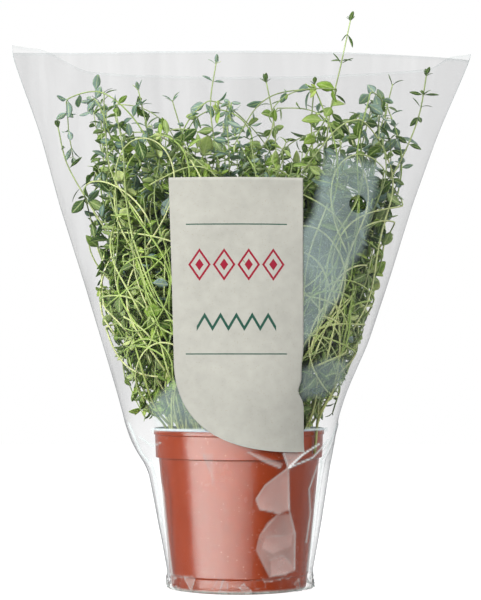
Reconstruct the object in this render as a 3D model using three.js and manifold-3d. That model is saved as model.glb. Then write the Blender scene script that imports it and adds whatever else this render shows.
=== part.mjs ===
// Potted thyme in a clear film sleeve: a plastic pot filled with peat, leafy stems of young thyme that
// stand in it, the tapering sleeve that is drawn up round pot and plant, and the paper panel on its front.
// Millimetres, +Z up. The origin is the centre of the pot's foot, and the front of the sleeve faces -Y.
import * as THREE from "three";
import { mergeVertices } from "three/addons/utils/BufferGeometryUtils.js";
import Module from "manifold-3d";

const wasm = await Module();
wasm.setup();
const { Manifold } = wasm;

// ---------------------------------------------------------------- driving dimensions

const POT = {
  height: 98, // table to rim
  rimRadius: 52.5,
  collarRadius: 51.2, // the collar's lower edge, at the step
  collarFoot: 80, // height of the step under the collar
  bodyTopRadius: 49.4,
  baseRadius: 41.2,
  footWidth: 3, // the ring that the pot stands on
  footRise: 2.4, // how far the middle of the base is clear of the table
  wall: 1.3,
  floor: 1.6,
  sides: 32,
  drainHoles: 6,
  drainRadius: 3.4,
  drainCircle: 26,
};

const SOIL = { top: 86, crown: 2.2, gap: 0.3, sides: 20, holeDepth: 9, holeRadius: 1.6, holeSides: 4 };

// The sleeve, from its hem to its mouth: height, reach to the left and the right seam, half depth, and how
// pointed the seams are (1 is an ellipse, 2 is a lens with two sharp corners).
const FILM = [
  { z: 0.8, left: 41.8, right: 43.0, deep: 42.4, point: 1.0 },
  { z: 38, left: 48.8, right: 50.0, deep: 47.9, point: 1.0 },
  { z: 74, left: 55.9, right: 55.6, deep: 53.2, point: 1.0 },
  { z: 86, left: 64.4, right: 57.9, deep: 53.5, point: 1.05 },
  { z: 99, left: 69.2, right: 59.4, deep: 53.7, point: 1.1 },
  { z: 120, left: 75.0, right: 66.0, deep: 53.4, point: 1.15 },
  { z: 150, left: 84.0, right: 79.4, deep: 52.0, point: 1.25 },
  { z: 190, left: 96.2, right: 92.8, deep: 50.4, point: 1.35 },
  { z: 235, left: 110.6, right: 106.9, deep: 49.6, point: 1.5 },
  { z: 285, left: 124.4, right: 125.0, deep: 50.4, point: 1.6 },
  { z: 330, left: 138.1, right: 141.9, deep: 52.0, point: 1.7 },
];
const SLEEVE = {
  thick: 0.6, // much thicker than the real film, which is about 0.04
  seamGap: 0.3, // half the space left between the two films at a seam
  sides: 26,
  mouth: 323, // the cut edge at the middle of the front and back
  frontLift: { left: 7, right: 2.5 }, // how much higher the front film's cut edge is at the seams
  backLift: { left: 12, right: 6.5 }, // and the back film's
};
const VENT = { x: 71.6, z: 233.4, radius: 5.4, sides: 16 };
const PANEL = { left: -41.6, right: 38.8, top: 248, bottom: 84.7, gap: 0.5, thick: 0.5 };

// The plant. A leafy stem is a curve from its hole in the peat to its tip, with short shoots and pairs of leaves.
const THYME = {
  stems: 46,
  seed: 18,
  radius: { root: 1.0, tip: 0.75 }, // of the square stem's corners
  segments: 9,
  rootSpread: 41, // radius of the patch of peat that the stems come out of
  arch: 95, // how far the lowest stems rise before they hang over to their tips
  hangBelow: 190, // tips under this height hang near the two sides
  rootApart: 4.2,
  clear: 0.6, // free space kept between two stems
  wallClear: 1.7, // and to the film
  rimClear: 2.6, // and over the pot's rim
  tries: 400,
};
const LEAF = { long: 9, wide: 5, thick: 0.8, apart: 54, first: 0.26, lean: 58, sunk: 0.9, off: 0.15, clear: 0.35, tries: 5,
  nudge: 0.22, tipLean: 0.42 };
const SHOOT = { long: 34, from: 0.45, every: 0.25, most: 1, segments: 2 };

// Tips that stand out above the bush: where they end, across and up.
const TALL_TIPS = [
  { x: 69, y: -6, z: 350 },
  { x: -14, y: -14, z: 322 },
  { x: 17, y: 10, z: 314 },
  { x: 116, y: -4, z: 316 },
  { x: 96, y: 8, z: 312 },
  { x: 46, y: -22, z: 308 },
  { x: -62, y: -12, z: 306 },
  { x: -42, y: 16, z: 303 },
  { x: -86, y: 4, z: 300 },
  { x: -112, y: -3, z: 284 },
];

// Where the bush ends on the left and the right, by height.
const BUSH = [
  { z: 100, left: -52, right: 50 },
  { z: 127, left: -70, right: 66 },
  { z: 158, left: -81, right: 77 },
  { z: 183, left: -87, right: 87 },
  { z: 214, left: -90, right: 94 },
  { z: 238, left: -88, right: 101 },
  { z: 269, left: -82, right: 103 },
  { z: 300, left: -70, right: 99 },
];

// ---------------------------------------------------------------- small helpers

const QUARTER = Math.PI / 2;
const lerp = (a, b, t) => a + (b - a) * t;

// The values of a list of stations at a height, straight between one station and the next.
function atHeight(stations, z) {
  let i = 1;
  while (i < stations.length - 1 && stations[i].z < z) i++;
  const a = stations[i - 1];
  const b = stations[i];
  const t = Math.max(0, (z - a.z) / (b.z - a.z));
  return Object.fromEntries(Object.keys(a).map((key) => [key, lerp(a[key], b[key], t)]));
}

// A repeatable stream of numbers from 0 to 1.
function draws(seed) {
  let state = (seed * 7919 + 104729) % 2147483647;
  const next = () => {
    state = (state * 48271) % 2147483647;
    return state / 2147483647;
  };
  for (let i = 0; i < 4; i++) next();
  return next;
}

function toSolid(geometry) {
  const bare = geometry.clone();
  bare.deleteAttribute("normal");
  bare.deleteAttribute("uv");
  const merged = mergeVertices(bare, 1e-4);
  return new Manifold(
    new wasm.Mesh({
      numProp: 3,
      vertProperties: merged.attributes.position.array,
      triVerts: new Uint32Array(merged.index.array),
    }),
  );
}

function toGeometry(solid) {
  const mesh = solid.getMesh();
  const geometry = new THREE.BufferGeometry();
  geometry.setAttribute("position", new THREE.BufferAttribute(new Float32Array(mesh.vertProperties), 3));
  geometry.setIndex(new THREE.BufferAttribute(new Uint32Array(mesh.triVerts), 1));
  const flat = geometry.toNonIndexed();
  flat.computeVertexNormals();
  return flat;
}

// The largest body of a join, without the scraps and sealed pockets that a join can leave.
function largest(solid) {
  return solid.decompose().reduce((a, b) => (b.volume() > a.volume() ? b : a));
}

// A closed skin over rings of equally many points, capped at both ends by fans.
function skin(rings) {
  const count = rings[0].length;
  const position = rings.flat().flatMap((p) => [p.x, p.y, p.z]);
  const index = [];
  for (let r = 0; r < rings.length - 1; r++) {
    for (let i = 0; i < count; i++) {
      const a = r * count + i;
      const b = r * count + ((i + 1) % count);
      index.push(a, b, b + count, a, b + count, a + count);
    }
  }
  const last = (rings.length - 1) * count;
  for (let i = 1; i < count - 1; i++) {
    index.push(0, i + 1, i);
    index.push(last, last + i, last + i + 1);
  }
  const geometry = new THREE.BufferGeometry();
  geometry.setAttribute("position", new THREE.Float32BufferAttribute(position, 3));
  geometry.setIndex(index);
  return geometry;
}

// ---------------------------------------------------------------- pot and peat

const baseInside = POT.footRise + POT.floor;

// Radius of the inside of the pot's wall at a height.
function potInside(z) {
  if (z > POT.collarFoot) {
    const t = (z - POT.collarFoot) / (POT.height - POT.collarFoot);
    return lerp(POT.collarRadius, POT.rimRadius, t) - POT.wall;
  }
  return lerp(POT.baseRadius, POT.bodyTopRadius, z / POT.collarFoot) - POT.wall;
}

function lathe(profile, sides) {
  const points = profile.map(([r, z]) => new THREE.Vector2(r, z));
  return new THREE.LatheGeometry(points, sides).rotateX(Math.PI / 2);
}

function makePot() {
  const foot = POT.baseRadius - POT.footWidth;
  const stepInside = POT.collarFoot + POT.wall;
  const body = toSolid(
    lathe(
      [
        [0, POT.footRise],
        [foot - 1, POT.footRise],
        [foot, 0],
        [POT.baseRadius - 0.8, 0],
        [POT.baseRadius, 1.2],
        [POT.bodyTopRadius, POT.collarFoot],
        [POT.collarRadius, POT.collarFoot],
        [POT.rimRadius, POT.height - 0.8],
        [POT.rimRadius - 0.5, POT.height],
        [potInside(POT.height), POT.height],
        [potInside(stepInside), stepInside],
        [potInside(POT.collarFoot), POT.collarFoot - 0.5],
        [potInside(baseInside), baseInside],
        [0, baseInside],
      ],
      POT.sides,
    ),
  );
  const holes = Array.from({ length: POT.drainHoles }, (_, i) => {
    const turn = (2 * Math.PI * i) / POT.drainHoles;
    return toSolid(
      new THREE.CylinderGeometry(POT.drainRadius, POT.drainRadius, 12, 10)
        .rotateX(Math.PI / 2)
        .translate(POT.drainCircle * Math.cos(turn), POT.drainCircle * Math.sin(turn), baseInside),
    );
  });
  return body.subtract(Manifold.union(holes));
}

// The peat fills the pot to just under its rim, with a low crown and a lumpy top, and a plain hole for each stem.
function makeSoil(roots) {
  const low = baseInside + SOIL.gap;
  const rings = [
    { r: potInside(low) - SOIL.gap - 0.3, z: low },
    { r: potInside(POT.collarFoot) - SOIL.gap - 0.3, z: POT.collarFoot - 2 },
    { r: potInside(POT.collarFoot) - SOIL.gap - 0.3, z: SOIL.top },
    { r: potInside(POT.collarFoot) * 0.72, z: SOIL.top + SOIL.crown * 0.5 },
    { r: potInside(POT.collarFoot) * 0.38, z: SOIL.top + SOIL.crown },
  ].map(({ r, z }, k) =>
    Array.from({ length: SOIL.sides }, (_, i) => {
      const turn = (2 * Math.PI * i) / SOIL.sides;
      const lump = k > 2 ? Math.sin(5 * turn + 2 * k) * 0.6 + Math.sin(9 * turn) * 0.4 : 0;
      return new THREE.Vector3(r * Math.cos(turn), r * Math.sin(turn), z + lump);
    }),
  );
  const depth = SOIL.holeDepth + SOIL.crown + 6;
  const holes = roots.map((root) =>
    toSolid(
      new THREE.CylinderGeometry(SOIL.holeRadius, SOIL.holeRadius, depth, SOIL.holeSides)
        .rotateX(Math.PI / 2)
        .translate(root.x, root.y, SOIL.top - SOIL.holeDepth + depth / 2),
    ),
  );
  return toSolid(skin(rings)).subtract(Manifold.union(holes));
}

// ---------------------------------------------------------------- sleeve and panel

// A point of the film at an angle round it and a height, moved outwards by some millimetres.
function filmPoint(angle, z, out = 0) {
  const f = atHeight(FILM, z);
  const inner = (turn) => {
    const reach = Math.cos(turn) > 0 ? f.right : f.left;
    const y = SLEEVE.seamGap + f.deep * Math.abs(Math.sin(turn)) ** f.point;
    return new THREE.Vector2(reach * Math.cos(turn), Math.sign(Math.sin(turn)) * y);
  };
  const here = inner(angle);
  const step = 0.02;
  const along = inner(angle + step).sub(inner(angle - step)).normalize();
  return new THREE.Vector3(here.x + along.y * out, here.y - along.x * out, z);
}

// The cut edge of the mouth is straight on the flat film, so it stands higher at the seams than at the middle.
function mouthHeight(angle) {
  const lift = Math.sin(angle) < 0 ? SLEEVE.frontLift : SLEEVE.backLift;
  const side = Math.cos(angle) > 0 ? lift.right : lift.left;
  return SLEEVE.mouth + side * Math.abs(Math.cos(angle)) ** 3;
}

function filmRing(z, out) {
  return Array.from({ length: SLEEVE.sides }, (_, i) => {
    const angle = (2 * Math.PI * (i + 0.5)) / SLEEVE.sides;
    return filmPoint(angle, z ?? mouthHeight(angle), out);
  });
}

// A sheet that follows the film all round, between two distances outside the film's inner face.
function filmShell(from, to) {
  const heights = [...FILM.slice(0, -1).map((f) => f.z), undefined];
  const outside = heights.map((z) => filmRing(z, to));
  const inside = heights.map((z) => filmRing(z, from)).reverse();
  const rings = [...outside, ...inside];
  const count = SLEEVE.sides;
  const index = [];
  rings.forEach((_, r) => {
    const next = ((r + 1) % rings.length) * count;
    for (let i = 0; i < count; i++) {
      const a = r * count + i;
      const b = r * count + ((i + 1) % count);
      index.push(a, b, next + ((i + 1) % count), a, next + ((i + 1) % count), next + i);
    }
  });
  const geometry = new THREE.BufferGeometry();
  const position = rings.flat().flatMap((p) => [p.x, p.y, p.z]);
  geometry.setAttribute("position", new THREE.Float32BufferAttribute(position, 3));
  geometry.setIndex(index);
  return toSolid(geometry);
}

function makeSleeve() {
  const punch = new THREE.CylinderGeometry(VENT.radius, VENT.radius, 80, VENT.sides).translate(VENT.x, -50, VENT.z);
  return filmShell(0, SLEEVE.thick).subtract(toSolid(punch));
}

// The panel's outline: square at the top and on the right, with one long sweep from the left side to the foot.
function panelOutline() {
  const { left, right, top, bottom } = PANEL;
  const shape = new THREE.Shape();
  shape.moveTo(right, bottom);
  shape.lineTo(right, top);
  shape.lineTo(left, top);
  shape.lineTo(left + 3.2, bottom + 51);
  shape.bezierCurveTo(left + 6, bottom + 14, left + 34, bottom, right, bottom);
  return shape;
}

function makePanel() {
  const from = SLEEVE.thick + PANEL.gap;
  const cutter = new THREE.ExtrudeGeometry(panelOutline(), { depth: 90, bevelEnabled: false, curveSegments: 8 });
  cutter.rotateX(Math.PI / 2);
  return filmShell(from, from + PANEL.thick).intersect(toSolid(cutter));
}

// ---------------------------------------------------------------- thyme

// Keeps a point inside the film and clear of the pot's rim.
function kept(p) {
  if (p.z > SLEEVE.mouth) return p;
  const room = THYME.wallClear;
  const f = atHeight(FILM, p.z);
  const reach = p.x > 0 ? f.right : f.left;
  const most = (reach - room) * 0.96;
  const x = Math.max(-most, Math.min(most, p.x));
  const deep = f.deep * (1 - (x / reach) ** 2) ** (f.point / 2) - room;
  const y = Math.max(-deep, Math.min(deep, p.y));
  const overRim = Math.hypot(x, y) > potInside(POT.height) - THYME.rimClear;
  return new THREE.Vector3(x, y, overRim ? Math.max(p.z, POT.height + THYME.rimClear) : p.z);
}

// Where stem number n ends: the tall tips first, and the others spread evenly through the bush.
function tipOf(n) {
  if (n < TALL_TIPS.length) return new THREE.Vector3(TALL_TIPS[n].x, TALL_TIPS[n].y, TALL_TIPS[n].z);
  const part = (step) => (n * step + 0.5) % 1;
  const z = lerp(BUSH[0].z + 8, BUSH.at(-1).z - 4, part(0.7548777));
  const side = atHeight(BUSH, z);
  const off = 2 * part(0.5698403) - 1;
  const hanging = Math.max(0, Math.min(1, (THYME.hangBelow - z) / 60));
  const size = lerp(Math.abs(off) ** 0.7, 0.75 + 0.25 * Math.abs(off), hanging);
  const across = 0.5 + 0.5 * Math.sign(off) * size;
  const deep = atHeight(FILM, z).deep * 0.8;
  return kept(new THREE.Vector3(lerp(side.left, side.right, across), lerp(-deep, deep, part(0.6180340)), z));
}

// The centreline of a stem: up out of its hole, outwards early, then up or over to its tip, wandering on the way.
function stemLine(n, attempt) {
  const draw = draws(THYME.seed + n * 61 + attempt * 977);
  const spread = (size) => (draw() * 2 - 1) * size;
  const tip = tipOf(n);
  const tall = n < TALL_TIPS.length;
  const root = new THREE.Vector2(tip.x * 0.34 + spread(16), tip.y * 0.5 + spread(20));
  if (root.length() > THYME.rootSpread) root.setLength(THYME.rootSpread * (0.75 + 0.25 * draw()));
  const start = new THREE.Vector3(root.x, root.y, SOIL.top + SOIL.crown + 2);
  const rise = tip.z - start.z;
  const arch = Math.max(0, lerp(THYME.arch, 0, rise / 170)) * (0.5 + 0.5 * draw());
  const one = new THREE.Vector3(
    lerp(root.x, tip.x, tall ? 0.25 : 0.45) + spread(6),
    lerp(root.y, tip.y, 0.3) + spread(8),
    start.z + rise * 0.3 + arch,
  );
  const two = new THREE.Vector3(
    lerp(root.x, tip.x, tall ? 0.8 : 1.05) + spread(tall ? 6 : 14),
    lerp(root.y, tip.y, 0.8) + spread(12),
    start.z + rise * 0.66 + arch * 1.4,
  );
  const curve = new THREE.CubicBezierCurve3(start, one, two, tip);
  const wave = [0, 1].map(() => ({ size: 3 + 5 * draw(), turns: 1 + 1.4 * draw(), from: draw() }));
  const points = [new THREE.Vector3(root.x, root.y, SOIL.top - SOIL.holeDepth + 0.3)];
  for (let i = 0; i <= THYME.segments; i++) {
    const t = i / THYME.segments;
    const p = curve.getPoint(t);
    const fade = Math.sin(Math.PI * t) ** 0.6;
    const sway = wave.map((w) => fade * w.size * Math.sin(2 * Math.PI * (w.turns * t + w.from)));
    points.push(kept(new THREE.Vector3(p.x + sway[0], p.y + sway[1], p.z)));
  }
  return points;
}

// The shortest distance between two straight pieces.
function apart(a, b, c, d) {
  const u = b.clone().sub(a);
  const v = d.clone().sub(c);
  const w = a.clone().sub(c);
  const uu = u.dot(u);
  const uv = u.dot(v);
  const vv = v.dot(v);
  const uw = u.dot(w);
  const vw = v.dot(w);
  const det = uu * vv - uv * uv;
  const limit = (x) => Math.max(0, Math.min(1, x));
  let s = det > 1e-9 ? limit((uv * vw - vv * uw) / det) : 0;
  const t = limit((uv * s + vw) / vv);
  s = limit((uv * t - uw) / uu);
  return w.addScaledVector(u, s).addScaledVector(v, -t).length();
}

// True if a bar stays clear of every bar of the other stems.
function isClear(bar, bars, own, gap) {
  return bars.every(
    (other) => other.stem === own || apart(bar.a, bar.b, other.a, other.b) > bar.r + other.r + gap,
  );
}

function barsOf(points, r, stem) {
  return points.slice(1).map((b, i) => ({ a: points[i], b, r, stem }));
}

// Plants every stem, each one redrawn until it crosses none of those before it.
function plantStems(bars) {
  const lines = [];
  for (let n = 0; n < THYME.stems; n++) {
    for (let attempt = 0; attempt < THYME.tries; attempt++) {
      const line = stemLine(n, attempt);
      const mine = barsOf(line, THYME.radius.root, n);
      const rootFree = lines.every(({ line: [p] }) => p.distanceTo(line[0]) > THYME.rootApart);
      if (!rootFree || !mine.every((bar) => isClear(bar, bars, n, THYME.clear))) continue;
      bars.push(...mine);
      lines.push({ n, line });
      break;
    }
  }
  return lines;
}

// The two directions square to a line at each of its points, carried along it without a twist.
function framesOf(points) {
  let u = new THREE.Vector3(0, 1, 0);
  return points.map((point, i) => {
    const before = points[Math.max(0, i - 1)];
    const after = points[Math.min(points.length - 1, i + 1)];
    const heading = after.clone().sub(before).normalize();
    if (i === 0 && Math.abs(heading.y) > 0.9) u.set(1, 0, 0);
    u = u.clone().addScaledVector(heading, -u.dot(heading)).normalize();
    return { point, heading, u };
  });
}

// Place and directions at a share of a line's length from its first to its last point.
function along(line, share) {
  const frames = framesOf(line);
  const at = Math.min(share * (line.length - 1), line.length - 1.001);
  const i = Math.floor(at);
  const between = (key) => frames[i][key].clone().lerp(frames[i + 1][key], at - i);
  return { point: between("point"), heading: between("heading").normalize(), u: between("u") };
}

// A direction square to a heading, turned round it from u by an angle.
function sideways({ heading, u }, turn) {
  const v = new THREE.Vector3().crossVectors(heading, u).normalize();
  const w = new THREE.Vector3().crossVectors(v, heading);
  return w.multiplyScalar(Math.cos(turn)).addScaledVector(v, Math.sin(turn));
}

// Short shoots that leave a stem and rise beside it.
function plantShoots({ n, line }, bars) {
  const draw = draws(THYME.seed + 5003 + n);
  const shoots = [];
  for (let k = 0; k < SHOOT.most; k++) {
    const share = SHOOT.from + SHOOT.every * (k + 0.6 * draw());
    const place = along(line, share);
    const { point, heading } = place;
    const long = SHOOT.long * (0.7 + 0.5 * draw());
    const first = Math.floor(4 * draw());
    for (let turn = 0; turn < 4; turn++) {
      const out = sideways(place, (first + turn) * QUARTER);
      const points = [point];
      for (let i = 1; i <= SHOOT.segments; i++) {
        const t = i / SHOOT.segments;
        const reach = long * t * (1 - 0.25 * t);
        const p = point.clone().addScaledVector(heading, reach * (0.45 + 0.25 * t)).addScaledVector(out, reach * 0.7);
        points.push(kept(p));
      }
      const mine = barsOf(points, THYME.radius.tip, n);
      if (points.at(-1).distanceTo(point) < long * 0.5 || !mine.every((b) => isClear(b, bars, n, THYME.clear))) continue;
      bars.push(...mine);
      shoots.push(points);
      break;
    }
  }
  return shoots;
}

// One leaf: a small pointed blade, cupped along its rib, with its root on the line of the stem.
function leafFrame(place, turn, lean, long) {
  const { point, heading } = place;
  const out = sideways(place, turn);
  const along = heading.clone().multiplyScalar(Math.cos(lean)).addScaledVector(out, Math.sin(lean));
  const across = new THREE.Vector3().crossVectors(heading, out).normalize();
  const face = new THREE.Vector3().crossVectors(along, across).normalize();
  const root = point.clone().addScaledVector(heading, -LEAF.sunk).addScaledVector(out, LEAF.off);
  return { root, along, across, face, long, wide: (long * LEAF.wide) / LEAF.long };
}

function leafPoint({ root, along, across, face }, x, y, z) {
  return root.clone().addScaledVector(along, x).addScaledVector(across, y).addScaledVector(face, z);
}

function leafSolid(leaf) {
  const { long, wide } = leaf;
  const half = wide / 2;
  const rim = [
    [0, 0, 0],
    [0.48 * long, -half, 0.1 * wide],
    [long, 0, -0.12 * long],
    [0.48 * long, half, 0.1 * wide],
  ].map((p) => leafPoint(leaf, ...p));
  const middle = [0.12 * LEAF.thick, -0.88 * LEAF.thick].map((z) => leafPoint(leaf, 0.48 * long, 0, z));
  const position = [...rim, ...middle].flatMap((p) => [p.x, p.y, p.z]);
  const index = [];
  for (let i = 0; i < rim.length; i++) {
    const j = (i + 1) % rim.length;
    index.push(rim.length, i, j, rim.length + 1, j, i);
  }
  const geometry = new THREE.BufferGeometry();
  geometry.setAttribute("position", new THREE.Float32BufferAttribute(position, 3));
  geometry.setIndex(index);
  return toSolid(geometry);
}

function leafBar(leaf, stem) {
  const r = leaf.wide * 0.42;
  return { a: leafPoint(leaf, 2.4, 0, 0), b: leafPoint(leaf, leaf.long - r * 0.8, 0, -0.05 * leaf.long), r, stem };
}

// True if a leaf lies inside the film and over the rim.
function leafFits(leaf) {
  const outer = [leafPoint(leaf, leaf.long, 0, -0.12 * leaf.long)];
  for (const side of [-1, 1]) outer.push(leafPoint(leaf, 0.45 * leaf.long, (side * leaf.wide) / 2, 0));
  return outer.every((p) => kept(p).distanceTo(p) < 0.4);
}

// Pairs of leaves along a line, each pair a quarter turn from the last, and a tuft at its tip.
function plantLeaves(n, line, first, bars, draw) {
  const length = line.slice(1).reduce((sum, p, i) => sum + p.distanceTo(line[i]), 0);
  const pairs = Math.max(1, Math.round((length * (1 - first)) / LEAF.apart));
  const leaves = [];
  const start = Math.floor(2 * draw());
  const place = (share, quarter, lean, long) => {
    const here = along(line, share);
    for (let k = 0; k < LEAF.tries; k++) {
      const leaf = leafFrame(here, quarter * QUARTER, lean + LEAF.nudge * k, long);
      const bar = leafBar(leaf, n);
      if (!leafFits(leaf) || !isClear(bar, bars, n, LEAF.clear)) continue;
      bars.push(bar);
      leaves.push(leaf);
      return;
    }
  };
  for (let k = 0; k < pairs; k++) {
    const share = first + ((1 - first) * (k + 0.3 + 0.4 * draw())) / pairs;
    const long = LEAF.long * (0.82 + 0.36 * draw());
    const lean = ((LEAF.lean + 24 * (draw() - 0.5)) * Math.PI) / 180;
    for (const half of [0, 2]) place(share, start + k + half, lean, long);
  }
  for (const half of [0, 2]) place(1, start + pairs + half, LEAF.tipLean + 0.25 * draw(), LEAF.long * 0.85);
  return leaves;
}

// A tapering square bar along a line.
function stemSolid(points, from, to) {
  const rings = framesOf(points).map((frame, i) => {
    const r = lerp(from, to, i / (points.length - 1));
    return [0.5, 1.5, 2.5, 3.5].map((k) => frame.point.clone().addScaledVector(sideways(frame, k * QUARTER), r));
  });
  return toSolid(skin(rings));
}

function makeThyme() {
  const bars = [];
  const plants = plantStems(bars);
  for (const plant of plants) plant.shoots = plantShoots(plant, bars);
  return plants.map(({ n, line, shoots }) => {
    const draw = draws(THYME.seed + 9001 + n);
    const stemLeaves = plantLeaves(n, line, LEAF.first, bars, draw);
    const shootLeaves = shoots.flatMap((shoot) => plantLeaves(n, shoot, 0.45, bars, draw));
    const { root, tip } = THYME.radius;
    const pieces = [
      stemSolid(line, root, tip),
      ...shoots.map((shoot) => stemSolid(shoot, tip, tip * 0.9)),
      ...[...stemLeaves, ...shootLeaves].map(leafSolid),
    ];
    return { n, root: line[0], solid: largest(Manifold.union(pieces)) };
  });
}

// ---------------------------------------------------------------- the object

const FINISH = {
  pot: { color: 0xb0563c, roughness: 0.45, metalness: 0 },
  soil: { color: 0x33261c, roughness: 1, metalness: 0 },
  thyme: { color: 0x7d9c4c, roughness: 0.65, metalness: 0, side: THREE.DoubleSide },
  sleeve: { color: 0xe9ecee, roughness: 0.12, metalness: 0, transparent: true, opacity: 0.25, depthWrite: false },
  panel: { color: 0xd6d7cc, roughness: 0.7, metalness: 0 },
};

function node(name, solid, finish) {
  const mesh = new THREE.Mesh(toGeometry(solid), new THREE.MeshStandardMaterial(finish));
  mesh.name = name;
  return mesh;
}

const pottedThyme = new THREE.Group();
const thyme = makeThyme();
pottedThyme.add(node("pot", makePot(), FINISH.pot));
pottedThyme.add(node("soil", makeSoil(thyme.map((stem) => stem.root)), FINISH.soil));
for (const stem of thyme) {
  pottedThyme.add(node(`thyme_stem_${String(stem.n + 1).padStart(2, "0")}`, stem.solid, FINISH.thyme));
}
pottedThyme.add(node("sleeve", makeSleeve(), FINISH.sleeve));
pottedThyme.add(node("front_panel", makePanel(), FINISH.panel));

export default pottedThyme;
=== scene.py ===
# %% [markdown]
# # Potted thyme in a clear film sleeve
# This lesson dresses a small product: young thyme in a plastic pot, wrapped in the tapering clear sleeve
# that it is sold in. The solid parts are already modelled and packed. They are loaded here as a frame that
# nothing may move, and every fine piece that we make in Blender lies where its solid lies. Blender works in
# metres, while a pot maker thinks in millimetres, so most values are millimetres until the moment that a
# mesh is made.

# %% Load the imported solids
import math

import bmesh
import bpy
import numpy as np
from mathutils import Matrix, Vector, noise


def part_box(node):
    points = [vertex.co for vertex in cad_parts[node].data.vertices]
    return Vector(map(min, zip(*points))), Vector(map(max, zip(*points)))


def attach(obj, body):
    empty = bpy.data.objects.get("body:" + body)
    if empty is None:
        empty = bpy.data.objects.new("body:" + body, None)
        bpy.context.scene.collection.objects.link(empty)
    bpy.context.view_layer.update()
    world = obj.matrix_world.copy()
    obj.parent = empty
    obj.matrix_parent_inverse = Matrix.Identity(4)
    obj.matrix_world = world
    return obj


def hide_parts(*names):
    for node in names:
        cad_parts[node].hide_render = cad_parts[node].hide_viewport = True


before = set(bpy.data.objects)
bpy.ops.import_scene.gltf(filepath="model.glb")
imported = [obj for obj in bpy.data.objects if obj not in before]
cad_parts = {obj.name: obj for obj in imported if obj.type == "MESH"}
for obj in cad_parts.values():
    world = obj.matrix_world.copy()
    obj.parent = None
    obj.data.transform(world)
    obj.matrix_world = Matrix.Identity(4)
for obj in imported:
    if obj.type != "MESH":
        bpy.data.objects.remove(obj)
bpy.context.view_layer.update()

MM = 0.001

# %% [markdown]
# ## The camera
# It comes first, because everything is lined up with one photograph. The pot's rim is 105 mm across and
# covers 170 of the picture's 481 pixels, and both rim and hem are seen nearly edge-on. Together that gives
# a camera 1.2 m away, a little above the rim and tipped up by two degrees. Its long lens keeps the sleeve's
# sides straight.

# %% Place the camera
PICTURE = (481, 600)  # pixels
FOCAL_PIXELS = 1943
HORIZON_ROW = 367.5
AXIS_COLUMN = 239  # the column that the pot's axis lies on
CAMERA_DISTANCE = 1200
CAMERA_HEIGHT = 135
SENSOR_WIDTH = 36

lens_data = bpy.data.cameras.new("camera")
lens_data.sensor_width = SENSOR_WIDTH
lens_data.lens = FOCAL_PIXELS / PICTURE[1] * SENSOR_WIDTH
camera = bpy.data.objects.new("camera", lens_data)
bpy.context.scene.collection.objects.link(camera)
aside = (PICTURE[0] / 2 - AXIS_COLUMN) * CAMERA_DISTANCE / FOCAL_PIXELS
tipped_up = math.atan((HORIZON_ROW - PICTURE[1] / 2) / FOCAL_PIXELS)
camera.location = (aside * MM, -CAMERA_DISTANCE * MM, CAMERA_HEIGHT * MM)
camera.rotation_euler = (math.pi / 2 + tipped_up, 0, 0)
bpy.context.scene.camera = camera
print("lens:", round(lens_data.lens, 1), "mm")


# %% [markdown]
# ## Small helpers
# A random rule has to give the same plant every time, so each piece draws from its own seeded stream. The
# stream is the one that the solids were grown with, which is how the fine stems find their solid twins.

# %% Random streams and interpolation
STREAM_PRIME = 2147483647
STREAM_FACTOR = 48271


def draws(seed):
    """A repeatable stream of numbers from 0 to 1."""
    state = (seed * 7919 + 104729) % STREAM_PRIME

    def draw():
        nonlocal state
        state = (state * STREAM_FACTOR) % STREAM_PRIME
        return state / STREAM_PRIME

    for _ in range(4):
        draw()
    return draw


def lerp(a, b, t):
    return a + (b - a) * t


def limit(value, low, high):
    return max(low, min(high, value))


def at_height(stations, z):
    """The values of a list of stations at a height; the first value of each station is its height."""
    i = 1
    while i < len(stations) - 1 and stations[i][0] < z:
        i += 1
    a, b = stations[i - 1], stations[i]
    t = max(0, (z - a[0]) / (b[0] - a[0]))
    return [lerp(p, q, t) for p, q in zip(a[1:], b[1:])]


# %% [markdown]
# A mesh here is made from two lists, points and faces. `make_piece` does it once for all of them: it scales
# millimetres to metres, links the object, lets it ride on the part's body and gives it its finishes.

# %% Make a mesh object from points and faces
def make_piece(name, points, faces, materials, material_of_face=None):
    mesh = bpy.data.meshes.new(name)
    mesh.from_pydata((np.asarray(points, dtype=float) * MM).tolist(), [], faces)
    for material in materials:
        mesh.materials.append(material)
    if material_of_face is not None:
        mesh.polygons.foreach_set("material_index", np.asarray(material_of_face, dtype=np.int32))
    mesh.polygons.foreach_set("use_smooth", [True] * len(mesh.polygons))
    mesh.update()
    piece = bpy.data.objects.new(name, mesh)
    bpy.context.scene.collection.objects.link(piece)
    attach(piece, "root")
    return piece


def apply_modifiers(piece):
    """Bake a piece's modifiers into its mesh."""
    graph = bpy.context.evaluated_depsgraph_get()
    mesh = bpy.data.meshes.new_from_object(piece.evaluated_get(graph))
    piece.modifiers.clear()
    piece.data = mesh


def thicken(piece, thickness):
    """Give a sheet its thickness, half to each side."""
    modifier = piece.modifiers.new("thickness", "SOLIDIFY")
    modifier.thickness = thickness * MM
    modifier.offset = 0
    apply_modifiers(piece)


def set_point_values(mesh, name, values):
    layer = mesh.attributes.new(name, "FLOAT", "POINT")
    layer.data.foreach_set("value", np.asarray(values, dtype=np.float32))


# %% [markdown]
# ## Materials: helpers for node trees
# Every finish here is a small node tree around one Principled shader. A socket of a node either takes another
# node's output or keeps a value of its own. `set_inputs` does both, which keeps the helpers after it short.

# %% Node helpers
def new_material(name):
    material = bpy.data.materials.new(name)
    material.use_nodes = True
    return material, material.node_tree, material.node_tree.nodes["Principled BSDF"]


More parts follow.
